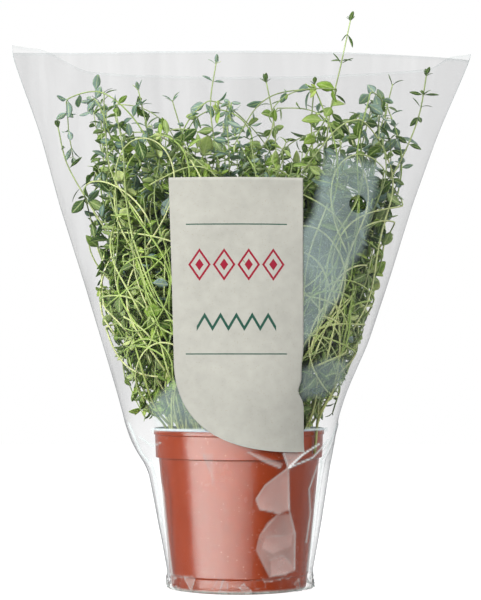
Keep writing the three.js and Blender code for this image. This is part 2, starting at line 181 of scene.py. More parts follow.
def set_inputs(tree, node, values):
    """Link each named socket to another node's output, or set its own value."""
    for key, value in values.items():
        socket = node.inputs[key]
        if isinstance(value, bpy.types.NodeSocket):
            tree.links.new(value, socket)
        elif socket.type == "RGBA":
            socket.default_value = (*value, 1)
        else:
            socket.default_value = value


def add_node(tree, kind, inputs=None, **settings):
    made = tree.nodes.new(kind)
    for key, value in settings.items():
        setattr(made, key, value)
    set_inputs(tree, made, inputs or {})
    return made


def maths(tree, operation, a, b=0.0, c=0.0):
    return add_node(tree, "ShaderNodeMath", {0: a, 1: b, 2: c}, operation=operation).outputs[0]


def times(tree, a, b):
    return maths(tree, "MULTIPLY", a, b)


def minus(tree, a, b):
    return maths(tree, "SUBTRACT", a, b)


def mix_colour(tree, factor, a, b):
    return add_node(tree, "ShaderNodeMix", {0: factor, 6: a, 7: b}, data_type="RGBA").outputs[2]


def ranged(tree, value, from_low, from_high, to_low=0.0, to_high=1.0, smooth=False):
    """A value carried over from one range to another and held inside it."""
    ends = {"From Min": from_low, "From Max": from_high, "To Min": to_low, "To Max": to_high}
    way = "SMOOTHSTEP" if smooth else "LINEAR"
    made = add_node(tree, "ShaderNodeMapRange", {"Value": value, **ends}, interpolation_type=way)
    return made.outputs["Result"]


def object_place(tree):
    return add_node(tree, "ShaderNodeTexCoord").outputs["Object"]


def parts_of(tree, vector):
    return add_node(tree, "ShaderNodeSeparateXYZ", {0: vector}).outputs


def stored_value(tree, name):
    """A value that was stored on the points of the mesh."""
    return add_node(tree, "ShaderNodeAttribute", attribute_name=name).outputs["Fac"]


def add_bump(tree, shader, height, distance, strength):
    bump = add_node(tree, "ShaderNodeBump", {"Height": height, "Distance": distance, "Strength": strength})
    set_inputs(tree, shader, {"Normal": bump.outputs[0]})


def srgb(red, green, blue):
    """A colour as a picture shows it, 0 to 255, as the linear values that a shader takes."""
    def linear(part):
        return ((part / 255 + 0.055) / 1.055) ** 2.4 if part > 10 else part / 255 / 12.92

    return linear(red), linear(green), linear(blue)


# %% [markdown]
# Two effects turn up in several finishes: a cloudy tone, since no surface has quite one colour, and fine
# specks. Each is a node group with named sockets, built once and placed in each material with its own
# values.

# %% Two shared effects: a cloudy tone and fine specks
def new_group(name, inputs, outputs):
    group = bpy.data.node_groups.new(name, "ShaderNodeTree")
    for title, kind, value in inputs:
        socket = group.interface.new_socket(title, in_out="INPUT", socket_type=kind)
        if value is not None:
            socket.default_value = value
    for title, kind in outputs:
        group.interface.new_socket(title, in_out="OUTPUT", socket_type=kind)
    return group, group.nodes.new("NodeGroupInput").outputs, group.nodes.new("NodeGroupOutput").inputs


def use_group(tree, group, **inputs):
    return add_node(tree, "ShaderNodeGroup", inputs, node_tree=group).outputs


def build_cloudy_tone():
    """Two sizes of soft noise that lighten and darken a colour."""
    group, given, out = new_group(
        "cloudy tone",
        [("Place", "NodeSocketVector", None), ("Colour", "NodeSocketColor", (0.5, 0.5, 0.5, 1)),
         ("Size", "NodeSocketFloat", 60.0), ("Strength", "NodeSocketFloat", 0.2)],
        [("Colour", "NodeSocketColor"), ("Value", "NodeSocketFloat")],
    )
    place, size = given["Place"], given["Size"]
    finer = times(group, size, 7.3)
    large = add_node(group, "ShaderNodeTexNoise", {"Vector": place, "Scale": size, "Detail": 3.0})
    small = add_node(group, "ShaderNodeTexNoise", {"Vector": place, "Scale": finer, "Detail": 2.0})
    both = maths(group, "MULTIPLY_ADD", large.outputs["Fac"], 1.3, small.outputs["Fac"])
    off_middle = minus(group, both, 1.15)
    factor = maths(group, "MULTIPLY_ADD", off_middle, times(group, given["Strength"], 2.0), 1.0)
    scaled = add_node(group, "ShaderNodeVectorMath", {0: given["Colour"], "Scale": factor}, operation="SCALE")
    group.links.new(scaled.outputs[0], out["Colour"])
    group.links.new(both, out["Value"])
    return group


def build_specks():
    """Small dots scattered in cells, each a little off its cell's centre."""
    group, given, out = new_group(
        "fine specks",
        [("Place", "NodeSocketVector", None), ("Size", "NodeSocketFloat", 600.0),
         ("Share", "NodeSocketFloat", 0.1)],
        [("Mask", "NodeSocketFloat")],
    )
    cells = add_node(group, "ShaderNodeTexVoronoi", {"Vector": given["Place"], "Scale": given["Size"]})
    chance = add_node(group, "ShaderNodeSeparateColor", {0: cells.outputs["Color"]}).outputs[0]
    chosen = maths(group, "LESS_THAN", chance, given["Share"])
    near = maths(group, "LESS_THAN", cells.outputs["Distance"], 0.28)
    group.links.new(times(group, chosen, near), out["Mask"])
    return group


CLOUDY_TONE = build_cloudy_tone()
FINE_SPECKS = build_specks()
print("shared effects:", [group.name for group in bpy.data.node_groups])


# %% [markdown]
# ## The pot
# A pot like this is drawn from a thin sheet of terracotta-coloured plastic: a tapering wall, a wider collar
# that stiffens the top, and a base raised on a ring with holes for the water. Its mould was turned, so the
# mesh is turned too, from half of its section. Rounding each corner of the section by a fraction of a
# millimetre is what catches the light along the rim and the step.

# %% Sizes of the pot
POT_HEIGHT = 98
RIM_RADIUS = 52.5
COLLAR_RADIUS = 51.2
COLLAR_FOOT = 80
BODY_TOP_RADIUS = 49.4
BASE_RADIUS = 41.2
FOOT_WIDTH = 3
FOOT_RISE = 2.4
WALL = 1.3
FLOOR = 1.6
DRAIN_HOLES = 6
DRAIN_RADIUS = 3.4
DRAIN_CIRCLE = 26
POT_SIDES = 160
DRILL_SIDES, DRILL_LONG = 40, 12
LEDGE = 8.5  # height of the small step low in the wall


def pot_inside(z):
    """Radius of the inside of the wall."""
    if z > COLLAR_FOOT:
        return lerp(COLLAR_RADIUS, RIM_RADIUS, (z - COLLAR_FOOT) / (POT_HEIGHT - COLLAR_FOOT)) - WALL
    return lerp(BASE_RADIUS, BODY_TOP_RADIUS, z / COLLAR_FOOT) - WALL


def pot_section():
    """Half of the pot's section, from under its middle, out and up round the rim, and back to its floor."""
    foot = BASE_RADIUS - FOOT_WIDTH
    floor_z = FOOT_RISE + FLOOR
    step_inside = COLLAR_FOOT + WALL
    at_ledge = lerp(BASE_RADIUS, BODY_TOP_RADIUS, 0.11)
    return [
        (0, FOOT_RISE), (foot - 1, FOOT_RISE), (foot, 0), (BASE_RADIUS - 0.8, 0), (BASE_RADIUS, 1.2),
        (at_ledge - 0.1, LEDGE), (at_ledge + 0.45, LEDGE + 0.7),
        (BODY_TOP_RADIUS, COLLAR_FOOT), (COLLAR_RADIUS, COLLAR_FOOT),
        (RIM_RADIUS - 0.75, POT_HEIGHT - 4.2), (RIM_RADIUS - 0.1, POT_HEIGHT - 3.9),
        (RIM_RADIUS, POT_HEIGHT - 0.4), (RIM_RADIUS - 0.5, POT_HEIGHT),
        (pot_inside(POT_HEIGHT), POT_HEIGHT), (pot_inside(step_inside), step_inside),
        (pot_inside(COLLAR_FOOT), COLLAR_FOOT - 0.5), (pot_inside(floor_z), floor_z), (0, floor_z),
    ]


# %% Turn a section into a mesh
def rounded(section, radius=0.45, steps=4):
    """The section with each inner corner replaced by a small arc."""
    soft = [section[0]]
    for before, corner, after in zip(section, section[1:], section[2:]):
        here = Vector(corner)
        back, on = Vector(before) - here, Vector(after) - here
        reach = min(radius, back.length * 0.45, on.length * 0.45)
        start, end = here + back.normalized() * reach, here + on.normalized() * reach
        for i in range(steps + 1):
            t = i / steps
            soft.append(tuple((1 - t) ** 2 * start + 2 * t * (1 - t) * here + t**2 * end))
    return soft + [section[-1]]


def circle(sides):
    return [(math.cos(2 * math.pi * i / sides), math.sin(2 * math.pi * i / sides)) for i in range(sides)]


def turned_faces(rings, sides):
    """Faces between rings of points, closed by one point in the middle of each end."""
    faces = []
    last, end = 1 + (rings - 1) * sides, 1 + rings * sides
    for i in range(sides):
        j = (i + 1) % sides
        faces.append((0, 1 + j, 1 + i))
        for k in range(rings - 1):
            a, b = 1 + k * sides, 1 + (k + 1) * sides
            faces.append((a + i, a + j, b + j, b + i))
        faces.append((last + i, last + j, end))
    return faces


def turned(section, sides):
    """Points and faces of a section turned round Z; it starts and ends on the axis."""
    points = [(0, 0, section[0][1])]
    points += [(r * c, r * s, z) for r, z in section[1:-1] for c, s in circle(sides)]
    points.append((0, 0, section[-1][1]))
    return points, turned_faces(len(section) - 2, sides)


# %% [markdown]
# The plastic is a smooth, slightly cloudy terracotta with a few dust specks. Its brim carries a painted
# highlight: a cool pale line, painted into the colour by height, where the light from above grazes it.

# %% Finish of the pot
# heights where the painted highlight on the brim begins and is full
BRIM_HIGHLIGHT_FROM, BRIM_HIGHLIGHT_FULL = POT_HEIGHT - 1.5, POT_HEIGHT - 0.9


def pot_finish():
    material, tree, shader = new_material("terracotta plastic")
    place = object_place(tree)
    tone = use_group(tree, CLOUDY_TONE, Place=place, Colour=srgb(141, 50, 9), Size=28.0, Strength=0.1)
    specks = use_group(tree, FINE_SPECKS, Place=place, Size=760.0, Share=0.07)
    colour = mix_colour(tree, times(tree, specks["Mask"], 0.35), tone["Colour"], srgb(224, 164, 140))
    # painted highlight: the top of the brim is painted a cool pale colour by height
    painted_brim_highlight = ranged(tree, parts_of(tree, place)["Z"], BRIM_HIGHLIGHT_FROM * MM, BRIM_HIGHLIGHT_FULL * MM, 0.0, 0.85, smooth=True)
    grain = add_node(tree, "ShaderNodeTexNoise", {"Vector": place, "Scale": 1500.0, "Detail": 2.0})
    set_inputs(tree, shader, {
        "Base Color": mix_colour(tree, painted_brim_highlight, colour, srgb(176, 192, 206)),
        "Roughness": ranged(tree, tone["Value"], 0.8, 1.5, 0.2, 0.28),
    })
    add_bump(tree, shader, grain.outputs["Fac"], 0.00012, 0.25)
    return material


# %% Turn the pot and drill its drain holes
def drill_drain(pot):
    """Cut one hole for each side of a small circle on the floor."""
    drills = []
    for c, s in circle(DRAIN_HOLES):
        centre = Vector((DRAIN_CIRCLE * c, DRAIN_CIRCLE * s, FOOT_RISE + FLOOR)) * MM
        bpy.ops.mesh.primitive_cylinder_add(
            vertices=DRILL_SIDES, radius=DRAIN_RADIUS * MM, depth=DRILL_LONG * MM, location=centre
        )
        drill = bpy.context.object
        cut = pot.modifiers.new("drain", "BOOLEAN")
        cut.operation, cut.object, cut.solver = "DIFFERENCE", drill, "EXACT"
        drills.append(drill)
    apply_modifiers(pot)
    for drill in drills:
        bpy.data.objects.remove(drill)


def make_pot():
    points, faces = turned(rounded(pot_section()), POT_SIDES)
    pot = make_piece("pot_shell", points, faces, [pot_finish()])
    drill_drain(pot)
    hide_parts("pot")
    return pot


pot = make_pot()
print("pot:", len(pot.data.polygons), "faces")


# %% [markdown]
# ## The peat
# The pot is full to just under its rim. Peat is a dark, crumbly mat of fibres, so its top is a disc of
# rings pushed up and down by several sizes of noise. The crown in the middle and the gap to the wall are
# the solid's.

# %% Shape and finish of the peat
SOIL_TOP = 86
SOIL_CROWN = 2.2
SOIL_GAP = 0.6
SOIL_RINGS = 46
SOIL_SIDES = 150


def soil_height(x, y):
    share = math.hypot(x, y) / pot_inside(COLLAR_FOOT)
    crown = SOIL_CROWN * (1 - share**2)
    lumps = noise.noise(Vector((x, y, 0)) * 0.16) * 1.5 + noise.noise(Vector((x, y, 7)) * 0.5) * 0.9
    return SOIL_TOP + crown + lumps + noise.noise(Vector((x, y, 3)) * 1.3) * 0.5


def peat_finish():
    material, tree, shader = new_material("moist peat")
    place = object_place(tree)
    tone = use_group(tree, CLOUDY_TONE, Place=place, Colour=srgb(52, 38, 28), Size=180.0, Strength=0.5)
    specks = use_group(tree, FINE_SPECKS, Place=place, Size=700.0, Share=0.12)
    colour = mix_colour(tree, specks["Mask"], tone["Colour"], srgb(120, 92, 64))
    set_inputs(tree, shader, {"Base Color": colour, "Roughness": 0.95})
    grain = add_node(tree, "ShaderNodeTexNoise", {"Vector": place, "Scale": 900.0, "Detail": 4.0})
    add_bump(tree, shader, grain.outputs["Fac"], 0.0006, 0.9)
    return material


def make_peat():
    floor_z = FOOT_RISE + FLOOR + SOIL_GAP
    low, high = pot_inside(floor_z) - SOIL_GAP, pot_inside(COLLAR_FOOT) - SOIL_GAP
    side = [(low * 0.97, floor_z), (low, floor_z + 1.5), (high, COLLAR_FOOT - 2)]
    around = circle(SOIL_SIDES)
    points = [(0, 0, floor_z)] + [(r * c, r * s, z) for r, z in side for c, s in around]
    for k in range(SOIL_RINGS):
        r = high * (1 - k / SOIL_RINGS) ** 0.8
        points += [(r * c, r * s, soil_height(r * c, r * s)) for c, s in around]
    points.append((0, 0, soil_height(0, 0)))
    faces = turned_faces(len(side) + SOIL_RINGS, SOIL_SIDES)
    peat = make_piece("peat_plug", points, faces, [peat_finish()])
    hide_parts("soil")
    return peat


peat = make_peat()
print("peat:", len(peat.data.polygons), "faces")


# %% [markdown]
# ## The outline of the sleeve
# The sleeve is two flat sheets of clear film welded along both sides, wider at the mouth than at the hem.
# Round the pot it is a tube; above the rim it flattens to a pointed lens. One table of stations holds how
# far it reaches to the left and right seam, how deep it is, and how pointed its seams are. The plant needs
# it too, because the film is what holds the stems in.

# %% The sleeve's stations
FILM = [  # height, reach to the left seam, reach to the right seam, half depth, how pointed
    (0.8, 41.8, 43.0, 42.4, 1.0),
    (38, 48.8, 50.0, 47.9, 1.0),
    (74, 55.9, 55.6, 53.2, 1.0),
    (86, 64.4, 57.9, 53.5, 1.05),
    (99, 69.2, 59.4, 53.7, 1.1),
    (120, 75.0, 66.0, 53.4, 1.15),
    (150, 84.0, 79.4, 52.0, 1.25),
    (190, 96.2, 92.8, 50.4, 1.35),
    (235, 110.6, 106.9, 49.6, 1.5),
    (285, 124.4, 125.0, 50.4, 1.6),
    (330, 138.1, 141.9, 52.0, 1.7),
]
MOUTH = 323
SEAM_GAP = 0.3  # half the space between the two sheets at a seam
FRONT_LIFT, BACK_LIFT = (7, 2.5), (12, 6.5)  # rise of each sheet over the mouth, at its left and right corner
print("sleeve:", FILM[0][0], "to", MOUTH, "mm high,", FILM[-1][1] + FILM[-1][2], "mm wide at its mouth")

# %% [markdown]
# ## Growing the thyme
# A thyme stem is a line that starts in its hole in the peat, leans out early, and then rises or hangs over
# to its tip, wandering on the way. The solids were grown by a small rule with seeded draws. Repeating that
# same rule here, draw for draw, gives each fine stem the line of its solid, and the next cells check how
# closely.

# %% The growth rule's values
STEMS = 46
SEED = 18
STEM_ROOT_RADIUS, STEM_TIP_RADIUS = 1.0, 0.75
STEM_SEGMENTS = 9
ROOT_SPREAD = 41
ARCH = 95
HANG_BELOW = 190
ROOT_APART = 4.2
STEM_CLEAR = 0.6
WALL_CLEAR = 1.7
RIM_CLEAR = 2.6
TRIES = 400
HOLE_DEPTH = 9

LEAF_LONG, LEAF_WIDE = 9, 5
LEAF_APART = 54
LEAF_FIRST = 0.26
LEAF_LEAN, TIP_LEAN = 58, 0.42
LEAF_SUNK, LEAF_OFF = 0.9, 0.15
LEAF_CLEAR, LEAF_TRIES, LEAF_NUDGE = 0.35, 5, 0.22
SHOOT_LONG, SHOOT_FROM, SHOOT_EVERY, SHOOTS_MOST, SHOOT_SEGMENTS = 34, 0.45, 0.25, 1, 2
QUARTER = math.pi / 2
HEIGHT_STEP, ACROSS_STEP, DEPTH_STEP = 0.7548777, 0.5698403, 0.6180340  # steps that spread tips evenly

TALL_TIPS = [
    (69, -6, 350), (-14, -14, 322), (17, 10, 314), (116, -4, 316), (96, 8, 312),
    (46, -22, 308), (-62, -12, 306), (-42, 16, 303), (-86, 4, 300), (-112, -3, 284),
]
BUSH = [  # height, left edge, right edge
    (100, -52, 50), (127, -70, 66), (158, -81, 77), (183, -87, 87),
    (214, -90, 94), (238, -88, 101), (269, -82, 103), (300, -70, 99),
]


# %% Lines of the stems
def kept(p, room=WALL_CLEAR):
    """A point moved inside the film and clear of the pot's rim."""
    if p[2] > MOUTH:
        return p
    left, right, deep, point = at_height(FILM, p[2])
    reach = right if p[0] > 0 else left
    most = (reach - room) * 0.96
    x = limit(p[0], -most, most)
    half = deep * (1 - (x / reach) ** 2) ** (point / 2) - room
    y = limit(p[1], -half, half)
    over_rim = math.hypot(x, y) > pot_inside(POT_HEIGHT) - RIM_CLEAR
    return np.array((x, y, max(p[2], POT_HEIGHT + RIM_CLEAR) if over_rim else p[2]))


def tip_of(n):
    if n < len(TALL_TIPS):
        return np.array(TALL_TIPS[n], dtype=float)

    def part(step):
        return (n * step + 0.5) % 1

    z = lerp(BUSH[0][0] + 8, BUSH[-1][0] - 4, part(HEIGHT_STEP))
    left, right = at_height(BUSH, z)
    off = 2 * part(ACROSS_STEP) - 1
    hanging = limit((HANG_BELOW - z) / 60, 0, 1)
    size = lerp(abs(off) ** 0.7, 0.75 + 0.25 * abs(off), hanging)
    across = 0.5 + 0.5 * math.copysign(1, off) * size
    deep = at_height(FILM, z)[2] * 0.8
    return kept(np.array((lerp(left, right, across), lerp(-deep, deep, part(DEPTH_STEP)), z)))


def bezier(a, b, c, d, t):
    return (1 - t) ** 3 * a + 3 * (1 - t) ** 2 * t * b + 3 * (1 - t) * t**2 * c + t**3 * d


def stem_line(n, attempt):
    draw = draws(SEED + n * 61 + attempt * 977)

    def spread(size):
        return (draw() * 2 - 1) * size

    tip = tip_of(n)
    tall = n < len(TALL_TIPS)
    root = np.array((tip[0] * 0.34 + spread(16), tip[1] * 0.5 + spread(20)))
    if math.hypot(*root) > ROOT_SPREAD:
        root *= ROOT_SPREAD * (0.75 + 0.25 * draw()) / math.hypot(*root)
    start = np.array((root[0], root[1], SOIL_TOP + SOIL_CROWN + 2))
    rise = tip[2] - start[2]
    arch = max(0, lerp(ARCH, 0, rise / 170)) * (0.5 + 0.5 * draw())
    one = np.array((
        lerp(root[0], tip[0], 0.25 if tall else 0.45) + spread(6),
        lerp(root[1], tip[1], 0.3) + spread(8),
        start[2] + rise * 0.3 + arch,
    ))
    two = np.array((
        lerp(root[0], tip[0], 0.8 if tall else 1.05) + spread(6 if tall else 14),
        lerp(root[1], tip[1], 0.8) + spread(12),
        start[2] + rise * 0.66 + arch * 1.4,
    ))
    waves = [(3 + 5 * draw(), 1 + 1.4 * draw(), draw()) for _ in range(2)]
    points = [np.array((root[0], root[1], SOIL_TOP - HOLE_DEPTH + 0.3))]
    for i in range(STEM_SEGMENTS + 1):
        t = i / STEM_SEGMENTS
        p = bezier(start, one, two, tip, t)
        fade = math.sin(math.pi * t) ** 0.6 if 0 < i < STEM_SEGMENTS else 0.0
        sway = [fade * size * math.sin(2 * math.pi * (turns * t + since)) for size, turns, since in waves]
        points.append(kept(np.array((p[0] + sway[0], p[1] + sway[1], p[2]))))
    return points


# %% [markdown]
# No stem may run through another, so each one is drawn again until its straight pieces stay clear of all
# those before it. The shortest distance between two straight pieces is a small formula, done here for many
# at once.

# %% Keeping stems and leaves apart
class Bars:
    """Straight round bars, each with two ends, a radius and the stem it belongs to."""

    def __init__(self):
        self.start, self.end = np.zeros((4000, 3)), np.zeros((4000, 3))
        self.radius, self.stem = np.zeros(4000), np.full(4000, -1)
        self.count = 0

    def add(self, bars):
        for a, b, radius, stem in bars:
            k = self.count
            self.start[k], self.end[k], self.radius[k], self.stem[k] = a, b, radius, stem
            self.count += 1

    def clear_of(self, bar, gap):
        a, b, radius, stem = bar
        other = self.stem[: self.count] != stem
        if not other.any():
            return True
        c, d = self.start[: self.count][other], self.end[: self.count][other]
        u, v, w = b - a, d - c, a - c
        uu, uv, vv = u @ u, v @ u, (v * v).sum(1)
        uw, vw = w @ u, (w * v).sum(1)
        det = uu * vv - uv * uv
        s = np.where(det > 1e-9, np.clip((uv * vw - vv * uw) / np.where(det > 1e-9, det, 1), 0, 1), 0)
        t = np.clip((uv * s + vw) / vv, 0, 1)
        s = np.clip((uv * t - uw) / uu, 0, 1)
        apart = np.linalg.norm(w + s[:, None] * u - t[:, None] * v, axis=1)
        return bool((apart > radius + self.radius[: self.count][other] + gap).all())


def bars_of(points, radius, stem):
    return [(a, b, radius, stem) for a, b in zip(points, points[1:])]


def plant_stems(bars):
    plants = []
    for n in range(STEMS):
        for attempt in range(TRIES):
            line = stem_line(n, attempt)
            if any(np.linalg.norm(other[1][0] - line[0]) <= ROOT_APART for other in plants):
                continue
            mine = bars_of(line, STEM_ROOT_RADIUS, n)
            if all(bars.clear_of(bar, STEM_CLEAR) for bar in mine):
                bars.add(mine)
                plants.append((n, line))
                break
    return plants


# %% Shoots and leaves of the solids
def unit(v):
    return v / math.sqrt(v @ v)


def frames_of(points):
    """Place, heading and one square direction at each point of a line, carried along without a twist."""
    frames = []
    u = np.array((0.0, 1.0, 0.0))
    for i, point in enumerate(points):
        before, after = points[max(0, i - 1)], points[min(len(points) - 1, i + 1)]
        heading = unit(after - before)
        if i == 0 and abs(heading[1]) > 0.9:
            u = np.array((1.0, 0.0, 0.0))
        u = unit(u - heading * (u @ heading))
        frames.append((point, heading, u))
    return frames


def along(frames, share):
    at = min(share * (len(frames) - 1), len(frames) - 1.001)
    i = int(at)
    point, heading, u = (lerp(a, b, at - i) for a, b in zip(frames[i], frames[i + 1]))
    return point, unit(heading), u


def sideways(heading, u, turn):
    v = unit(np.cross(heading, u))
    return np.cross(v, heading) * math.cos(turn) + v * math.sin(turn)


def plant_shoots(n, line, bars):
    draw = draws(SEED + 5003 + n)
    frames = frames_of(line)
    shoots = []
    for k in range(SHOOTS_MOST):
        point, heading, u = along(frames, SHOOT_FROM + SHOOT_EVERY * (k + 0.6 * draw()))
        long = SHOOT_LONG * (0.7 + 0.5 * draw())
        first = int(4 * draw())
        for turn in range(4):
            out = sideways(heading, u, (first + turn) * QUARTER)
            points = [point]
            for i in range(1, SHOOT_SEGMENTS + 1):
                t = i / SHOOT_SEGMENTS
                reach = long * t * (1 - 0.25 * t)
                points.append(kept(point + heading * reach * (0.45 + 0.25 * t) + out * reach * 0.7))
            mine = bars_of(points, STEM_TIP_RADIUS, n)
            if np.linalg.norm(points[-1] - point) < long * 0.5:
                continue
            if all(bars.clear_of(bar, STEM_CLEAR) for bar in mine):
                bars.add(mine)
                shoots.append(points)
                break
    return shoots


def leaf_frame(place, turn, lean, long):
    """Root, three directions and length of a leaf: along it, across it, and out of its upper face."""
    point, heading, u = place
    out = sideways(heading, u, turn)
    onward = heading * math.cos(lean) + out * math.sin(lean)
    across = unit(np.cross(heading, out))
    face = unit(np.cross(onward, across))
    return point - heading * LEAF_SUNK + out * LEAF_OFF, onward, across, face, long


def leaf_point(leaf, x, y, z):
    root, onward, across, face, _ = leaf
    return root + onward * x + across * y + face * z


def leaf_fits(leaf):
    long = leaf[4]
    half = long * LEAF_WIDE / LEAF_LONG / 2
    outer = [(long, 0, -0.12 * long), (0.45 * long, -half, 0), (0.45 * long, half, 0)]
    places = [leaf_point(leaf, *p) for p in outer]
    return all(np.linalg.norm(kept(p) - p) < 0.4 for p in places)


def leaf_bar(leaf, stem):
    long = leaf[4]
    radius = long * LEAF_WIDE / LEAF_LONG * 0.42
    return leaf_point(leaf, 2.4, 0, 0), leaf_point(leaf, long - radius * 0.8, 0, -0.05 * long), radius, stem


def plant_leaves(n, line, first, bars, draw):
    frames = frames_of(line)
    length = sum(np.linalg.norm(b - a) for a, b in zip(line, line[1:]))
    pairs = max(1, math.floor(length * (1 - first) / LEAF_APART + 0.5))
    start = int(2 * draw())
    leaves = []

    def place(share, quarter, lean, long):
        here = along(frames, share)
        for k in range(LEAF_TRIES):
            leaf = leaf_frame(here, quarter * QUARTER, lean + LEAF_NUDGE * k, long)
            bar = leaf_bar(leaf, n)
            if leaf_fits(leaf) and bars.clear_of(bar, LEAF_CLEAR):
                bars.add([bar])
                leaves.append(leaf)
                return

    for k in range(pairs):
        share = first + (1 - first) * (k + 0.3 + 0.4 * draw()) / pairs
        long = LEAF_LONG * (0.82 + 0.36 * draw())
        lean = math.radians(LEAF_LEAN + 24 * (draw() - 0.5))
        for half in (0, 2):
            place(share, start + k + half, lean, long)
    for half in (0, 2):
        place(1, start + pairs + half, TIP_LEAN + 0.25 * draw(), LEAF_LONG * 0.85)
    return leaves


# %% Grow the plant again and compare it with its solids
def grow_solid_plant():
    bars = Bars()
    plants = plant_stems(bars)
    shoots = [plant_shoots(n, line, bars) for n, line in plants]
    grown = []
    for (n, line), own_shoots in zip(plants, shoots):
        draw = draws(SEED + 9001 + n)
        leaves = plant_leaves(n, line, LEAF_FIRST, bars, draw)
        for shoot in own_shoots:
            leaves += plant_leaves(n, shoot, 0.45, bars, draw)
        grown.append((f"thyme_stem_{n + 1:02d}", line, own_shoots, leaves))
    return grown


def leaf_rim(leaf):
    long = leaf[4]
    half = long * LEAF_WIDE / LEAF_LONG / 2
    sides = [leaf_point(leaf, 0.48 * long, side * half, 0.2 * half) for side in (-1, 1)]
    return [leaf_point(leaf, long, 0, -0.12 * long), *sides]


def farthest_from_solid(name, line, shoots, leaves):
    """How far the grown stem's box differs from its solid's, in millimetres."""
    of_shoots = [p for shoot in shoots for p in shoot]
    of_leaves = [p for leaf in leaves for p in leaf_rim(leaf)]
    points = np.array(line[1:] + of_shoots + of_leaves)
    low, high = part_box(name)
    below = np.abs(points.min(0) - np.array(low) / MM)[:2].max()
    above = np.abs(points.max(0) - np.array(high) / MM).max()
    return max(below, above)


grown = grow_solid_plant()
differences = [farthest_from_solid(*stem) for stem in grown]
print("stems:", len(grown), "leaves:", sum(len(stem[3]) for stem in grown))
print("largest difference from the solids:", round(max(differences), 2), "mm")


# %% [markdown]
# ## Fine stems
# The solid stems are square bars of straight pieces. A real thyme stem is a wiry thread that bends
# smoothly, so each bar is redrawn as a smooth curve through the same points, rounder and thinner towards
# its tip.

# %% Smooth curves and tubes
STEM_SIDES = 6
FINE_ROOT_RADIUS, FINE_TIP_RADIUS = 0.9, 0.42
STEM_FINISH = 2  # its place in the list of finishes, after the two sides of a leaf


def smooth_line(points, steps=5):
    """A curve that passes through every point, as a list of closer points."""
    p = np.array(points)
    p = np.vstack((2 * p[0] - p[1], p, 2 * p[-1] - p[-2]))
    t = (np.arange(steps) / steps)[:, None]
    curve = []
    for a, b, c, d in zip(p, p[1:], p[2:], p[3:]):
        bent = 2 * b + (c - a) * t + (2 * a - 5 * b + 4 * c - d) * t**2 + (3 * b - a - 3 * c + d) * t**3
        curve.extend(0.5 * bent)
    return curve + [p[-2]]


class Mesh:
    """Points, faces, finishes and per-point values, gathered from many small parts."""

    def __init__(self):
        self.points, self.faces, self.finish = [], [], []
        self.values = {"tone": [], "age": []}
        self.across = []
        self.count = 0

    def add(self, points, faces, finish, tone, age, across):
        start = self.count
        self.points.append(points)
        self.faces.extend(tuple(start + i for i in face) for face in faces)
        self.finish.extend(finish)
        self.values["tone"].append(np.broadcast_to(tone, len(points)))
        self.values["age"].append(np.broadcast_to(age, len(points)))
        self.across.append(np.broadcast_to(across, (len(points), 2)))
        self.count += len(points)

    def build(self, name, materials):
        piece = make_piece(name, np.vstack(self.points), self.faces, materials, self.finish)
        for key, parts in self.values.items():
            set_point_values(piece.data, key, np.concatenate(parts))
        across = np.vstack(self.across)
        set_point_values(piece.data, "blade_along", across[:, 0])
        set_point_values(piece.data, "blade_across", across[:, 1])
        return piece


def add_tube(mesh, line, radius_from, radius_to, tone, sides=STEM_SIDES):
    frames = frames_of(line)
    rings, ages = [], []
    for i, (point, heading, u) in enumerate(frames):
        share = i / (len(frames) - 1)
        radius = lerp(radius_from, radius_to, share**0.8)
        for k in range(sides):
            rings.append(point + sideways(heading, u, 2 * math.pi * k / sides) * radius)
            ages.append(1 - share)
    faces = []
    for i in range(len(frames) - 1):
        for k in range(sides):
            j = (k + 1) % sides
            a, b = i * sides, (i + 1) * sides
            faces.append((a + k, a + j, b + j, b + k))
    last = (len(frames) - 1) * sides
    faces += [tuple(range(sides - 1, -1, -1)), tuple(last + k for k in range(sides))]
    mesh.add(np.array(rings), faces, [STEM_FINISH] * len(faces), tone, ages, (0.5, 0.5))


# %% [markdown]
# ## Leaf blades
# A thyme leaf is a few millimetres long: a short stalk, an oval blade that is widest below the middle, a
# furrow along the midrib and margins that roll under. One template holds all that as shares of length and
# width, and every leaf on the plant is the template bent, tilted and scaled a little differently.

# %% One blade's template
BLADE_ROWS = [  # share of the length, share of the width
    (0.0, 0.1), (0.1, 0.12), (0.22, 0.5), (0.4, 0.94), (0.6, 0.97), (0.8, 0.7), (0.94, 0.32), (1.0, 0.06),
]
BLADE_COLUMNS = (-1, -0.52, 0, 0.52, 1)
BLADE_THICK = 0.24


def blade_template():
    """Shares along and across for each point, which points lie underneath, and faces with finishes."""
    rows, columns = len(BLADE_ROWS), len(BLADE_COLUMNS)
    top = [(s, c, w, 0) for s, w in BLADE_ROWS for c in BLADE_COLUMNS]
    inner = {}
    under = []
    for r in range(1, rows - 1):
        for k in range(1, columns - 1):
            inner[r, k] = len(top) + len(under)
            under.append((BLADE_ROWS[r][0], BLADE_COLUMNS[k], BLADE_ROWS[r][1], 1))

    def low(r, k):
        return inner.get((r, k), r * columns + k)

    faces, finish = [], []
    for r in range(rows - 1):
        for k in range(columns - 1):
            a, b = r * columns + k, (r + 1) * columns + k
            faces.append((a, b, b + 1, a + 1))
            finish.append(0)
            faces.append((low(r, k), low(r, k + 1), low(r + 1, k + 1), low(r + 1, k)))
            finish.append(1)
    return np.array(top + under, dtype=float), faces, finish


BLADE, BLADE_FACES, BLADE_FINISH = blade_template()


